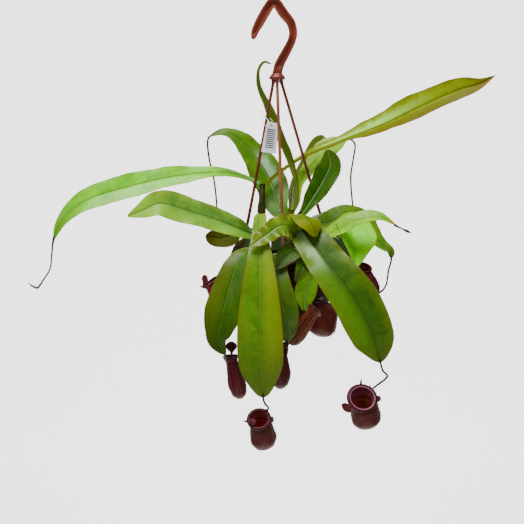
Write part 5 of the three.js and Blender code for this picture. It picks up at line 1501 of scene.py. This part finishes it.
class PLANT_OT_pot(bpy.types.Operator):
    """Build the pot and the growing mix in it."""

    bl_idname = "plant.pot"
    bl_label = "Pot"

    def execute(self, context):
        settings = context.scene.plant_hanger
        pot_skin = plastic_finish("pot_brown", settings.pot, "#321608", "#110602", 0.6, 0.12)
        grounds = [ground_finish(*paints) for paints in (
            ("growing_mix", "#3a281b", "#52402c", "#1c130c", 1.0),
            ("bark_chips", "#5e3f28", "#7c5a3b", "#2c1b10", 1.6),
            ("pale_grit", "#b9b09c", "#d6d0c0", "#8a8172", 2.2))]
        hand_over(pot_piece(pot_skin), "pot_plastic", "pot")
        hand_over(soil_piece(*grounds, settings.crumbs, settings.seed), "soil", "soil")
        return {"FINISHED"}


class PLANT_OT_stems(bpy.types.Operator):
    """Build the woody stems and the green one in the middle."""

    bl_idname = "plant.stems"
    bl_label = "Stems"

    def execute(self, context):
        bark = bark_finish("stem_bark", "#1f2604", "#3b3409", "#140d03")
        young = bark_finish("stem_green", "#4a5a08", "#66700f", "#2c3305")
        for side, stem in STEMS.items():
            material = young if side == "centre" else bark
            parts = [bar(f"stem_{side}", stem["line"], stem["radius"], material, steps=80, Sides=24, Rings=9.0,
                         Ring_height=0.09, End=0.86)]
            if "knot" in stem:
                parts.append(tapered("knot", stem["knot"], [0.95, 1.15, 1.3, 1.2, 0.95] * np.array(stem["radius"]),
                                     material, 20, 24))
            hand_over(joined(f"stem_{side}", parts), "stem", f"stem_{side}")
        return {"FINISHED"}


class PLANT_OT_leaves(bpy.types.Operator):
    """Build the strap leaves."""

    bl_idname = "plant.leaves"
    bl_label = "Leaves"

    def execute(self, context):
        settings = context.scene.plant_leaves
        trail = bark_finish("trail_brown", "#3c2514", "#59401f", "#1c0f08", 2.0)
        for name, spec in LEAVES.items():
            material = leaf_finish(f"{name}_skin", settings.gloss, **spec["look"])
            hand_over(leaf_piece(name, material, trail, settings.ripple), spec["slot"], name)
        return {"FINISHED"}


class PLANT_OT_pitchers(bpy.types.Operator):
    """Build the pitchers with their lids, rims and wings."""

    bl_idname = "plant.pitchers"
    bl_label = "Pitchers"

    def execute(self, context):
        settings = context.scene.plant_pitchers
        for name, spec in PITCHERS.items():
            # The rim paint is a painted highlight along the rim's crest.
            body, *others, throat, crest, streak, lid_body = (
                settings.skin if paint == "skin" else paint for paint in spec["paints"].split())
            rim = rim_finish(f"{name}_rim", throat, crest, streak)
            lid = pitcher_finish(f"{name}_lid_skin", lid_body, *others, throat)
            skin = pitcher_finish(f"{name}_skin", body, *others, throat)
            slot = "pitcher_rust" if name == "pitcher_rust" else "pitcher_wine"
            hand_over(pitcher_piece(name, skin, rim, lid, settings.hair), slot, name)
        return {"FINISHED"}


class PLANT_OT_tendrils(bpy.types.Operator):
    """Build the tendrils that the pitchers hang on."""

    bl_idname = "plant.tendrils"
    bl_label = "Tendrils"

    def execute(self, context):
        material = bark_finish("tendril_brown", "#24140d", "#3a2714", "#120906", 2.0)
        for name in PITCHERS:
            hand_over(tendril_piece(name, material), "tendril", name.replace("pitcher", "tendril"))
        return {"FINISHED"}


class PLANT_OT_tag(bpy.types.Operator):
    """Build the card tag and the tie that holds it to the left arm."""

    bl_idname = "plant.tag"
    bl_label = "Tag"

    def execute(self, context):
        clear = plastic_finish("tie_clear", "#e9e9e2", "#ffffff", "#bdbdb4", 0.3)
        tag = tag_piece(card_finish("tag_card"))
        tie = bar("tag_tie", TIE_LINE, TIE_RADIUS, clear, steps=160, Sides=10)
        hand_over(tag, "tag_paper", "tag")
        hand_over(tie, "tag_paper", "tag_tie")
        return {"FINISHED"}


OPERATORS = (PLANT_OT_stage, PLANT_OT_hanger, PLANT_OT_pot, PLANT_OT_stems, PLANT_OT_leaves, PLANT_OT_pitchers,
             PLANT_OT_tendrils, PLANT_OT_tag)
GROUPS = {"plant_leaves": PlantLeaves, "plant_pitchers": PlantPitchers, "plant_hanger": PlantHanger,
          "plant_stage": PlantStage}


class PLANT_PT_panel(bpy.types.Panel):
    """Lists the plant's pieces and settings in the sidebar."""

    bl_idname = "PLANT_PT_panel"
    bl_label = "Hanging pitcher plant"
    bl_space_type = "VIEW_3D"
    bl_region_type = "UI"
    bl_category = "Plant"

    def draw(self, context):
        for key, group in GROUPS.items():
            box = self.layout.box()
            for setting in group.__annotations__:
                box.prop(getattr(context.scene, key), setting)
        for operator in OPERATORS:
            self.layout.operator(operator.bl_idname)


def register():
    for item in (*GROUPS.values(), *OPERATORS, PLANT_PT_panel):
        bpy.utils.register_class(item)
    for key, group in GROUPS.items():
        setattr(bpy.types.Scene, key, bpy.props.PointerProperty(type=group))


def unregister():
    for key in GROUPS:
        delattr(bpy.types.Scene, key)
    for item in reversed((*GROUPS.values(), *OPERATORS, PLANT_PT_panel)):
        bpy.utils.unregister_class(item)


def main():
    register()
    for operator in OPERATORS:
        section, action = operator.bl_idname.split(".")
        getattr(getattr(bpy.ops, section), action)()


if __name__ == "__main__":
    main()
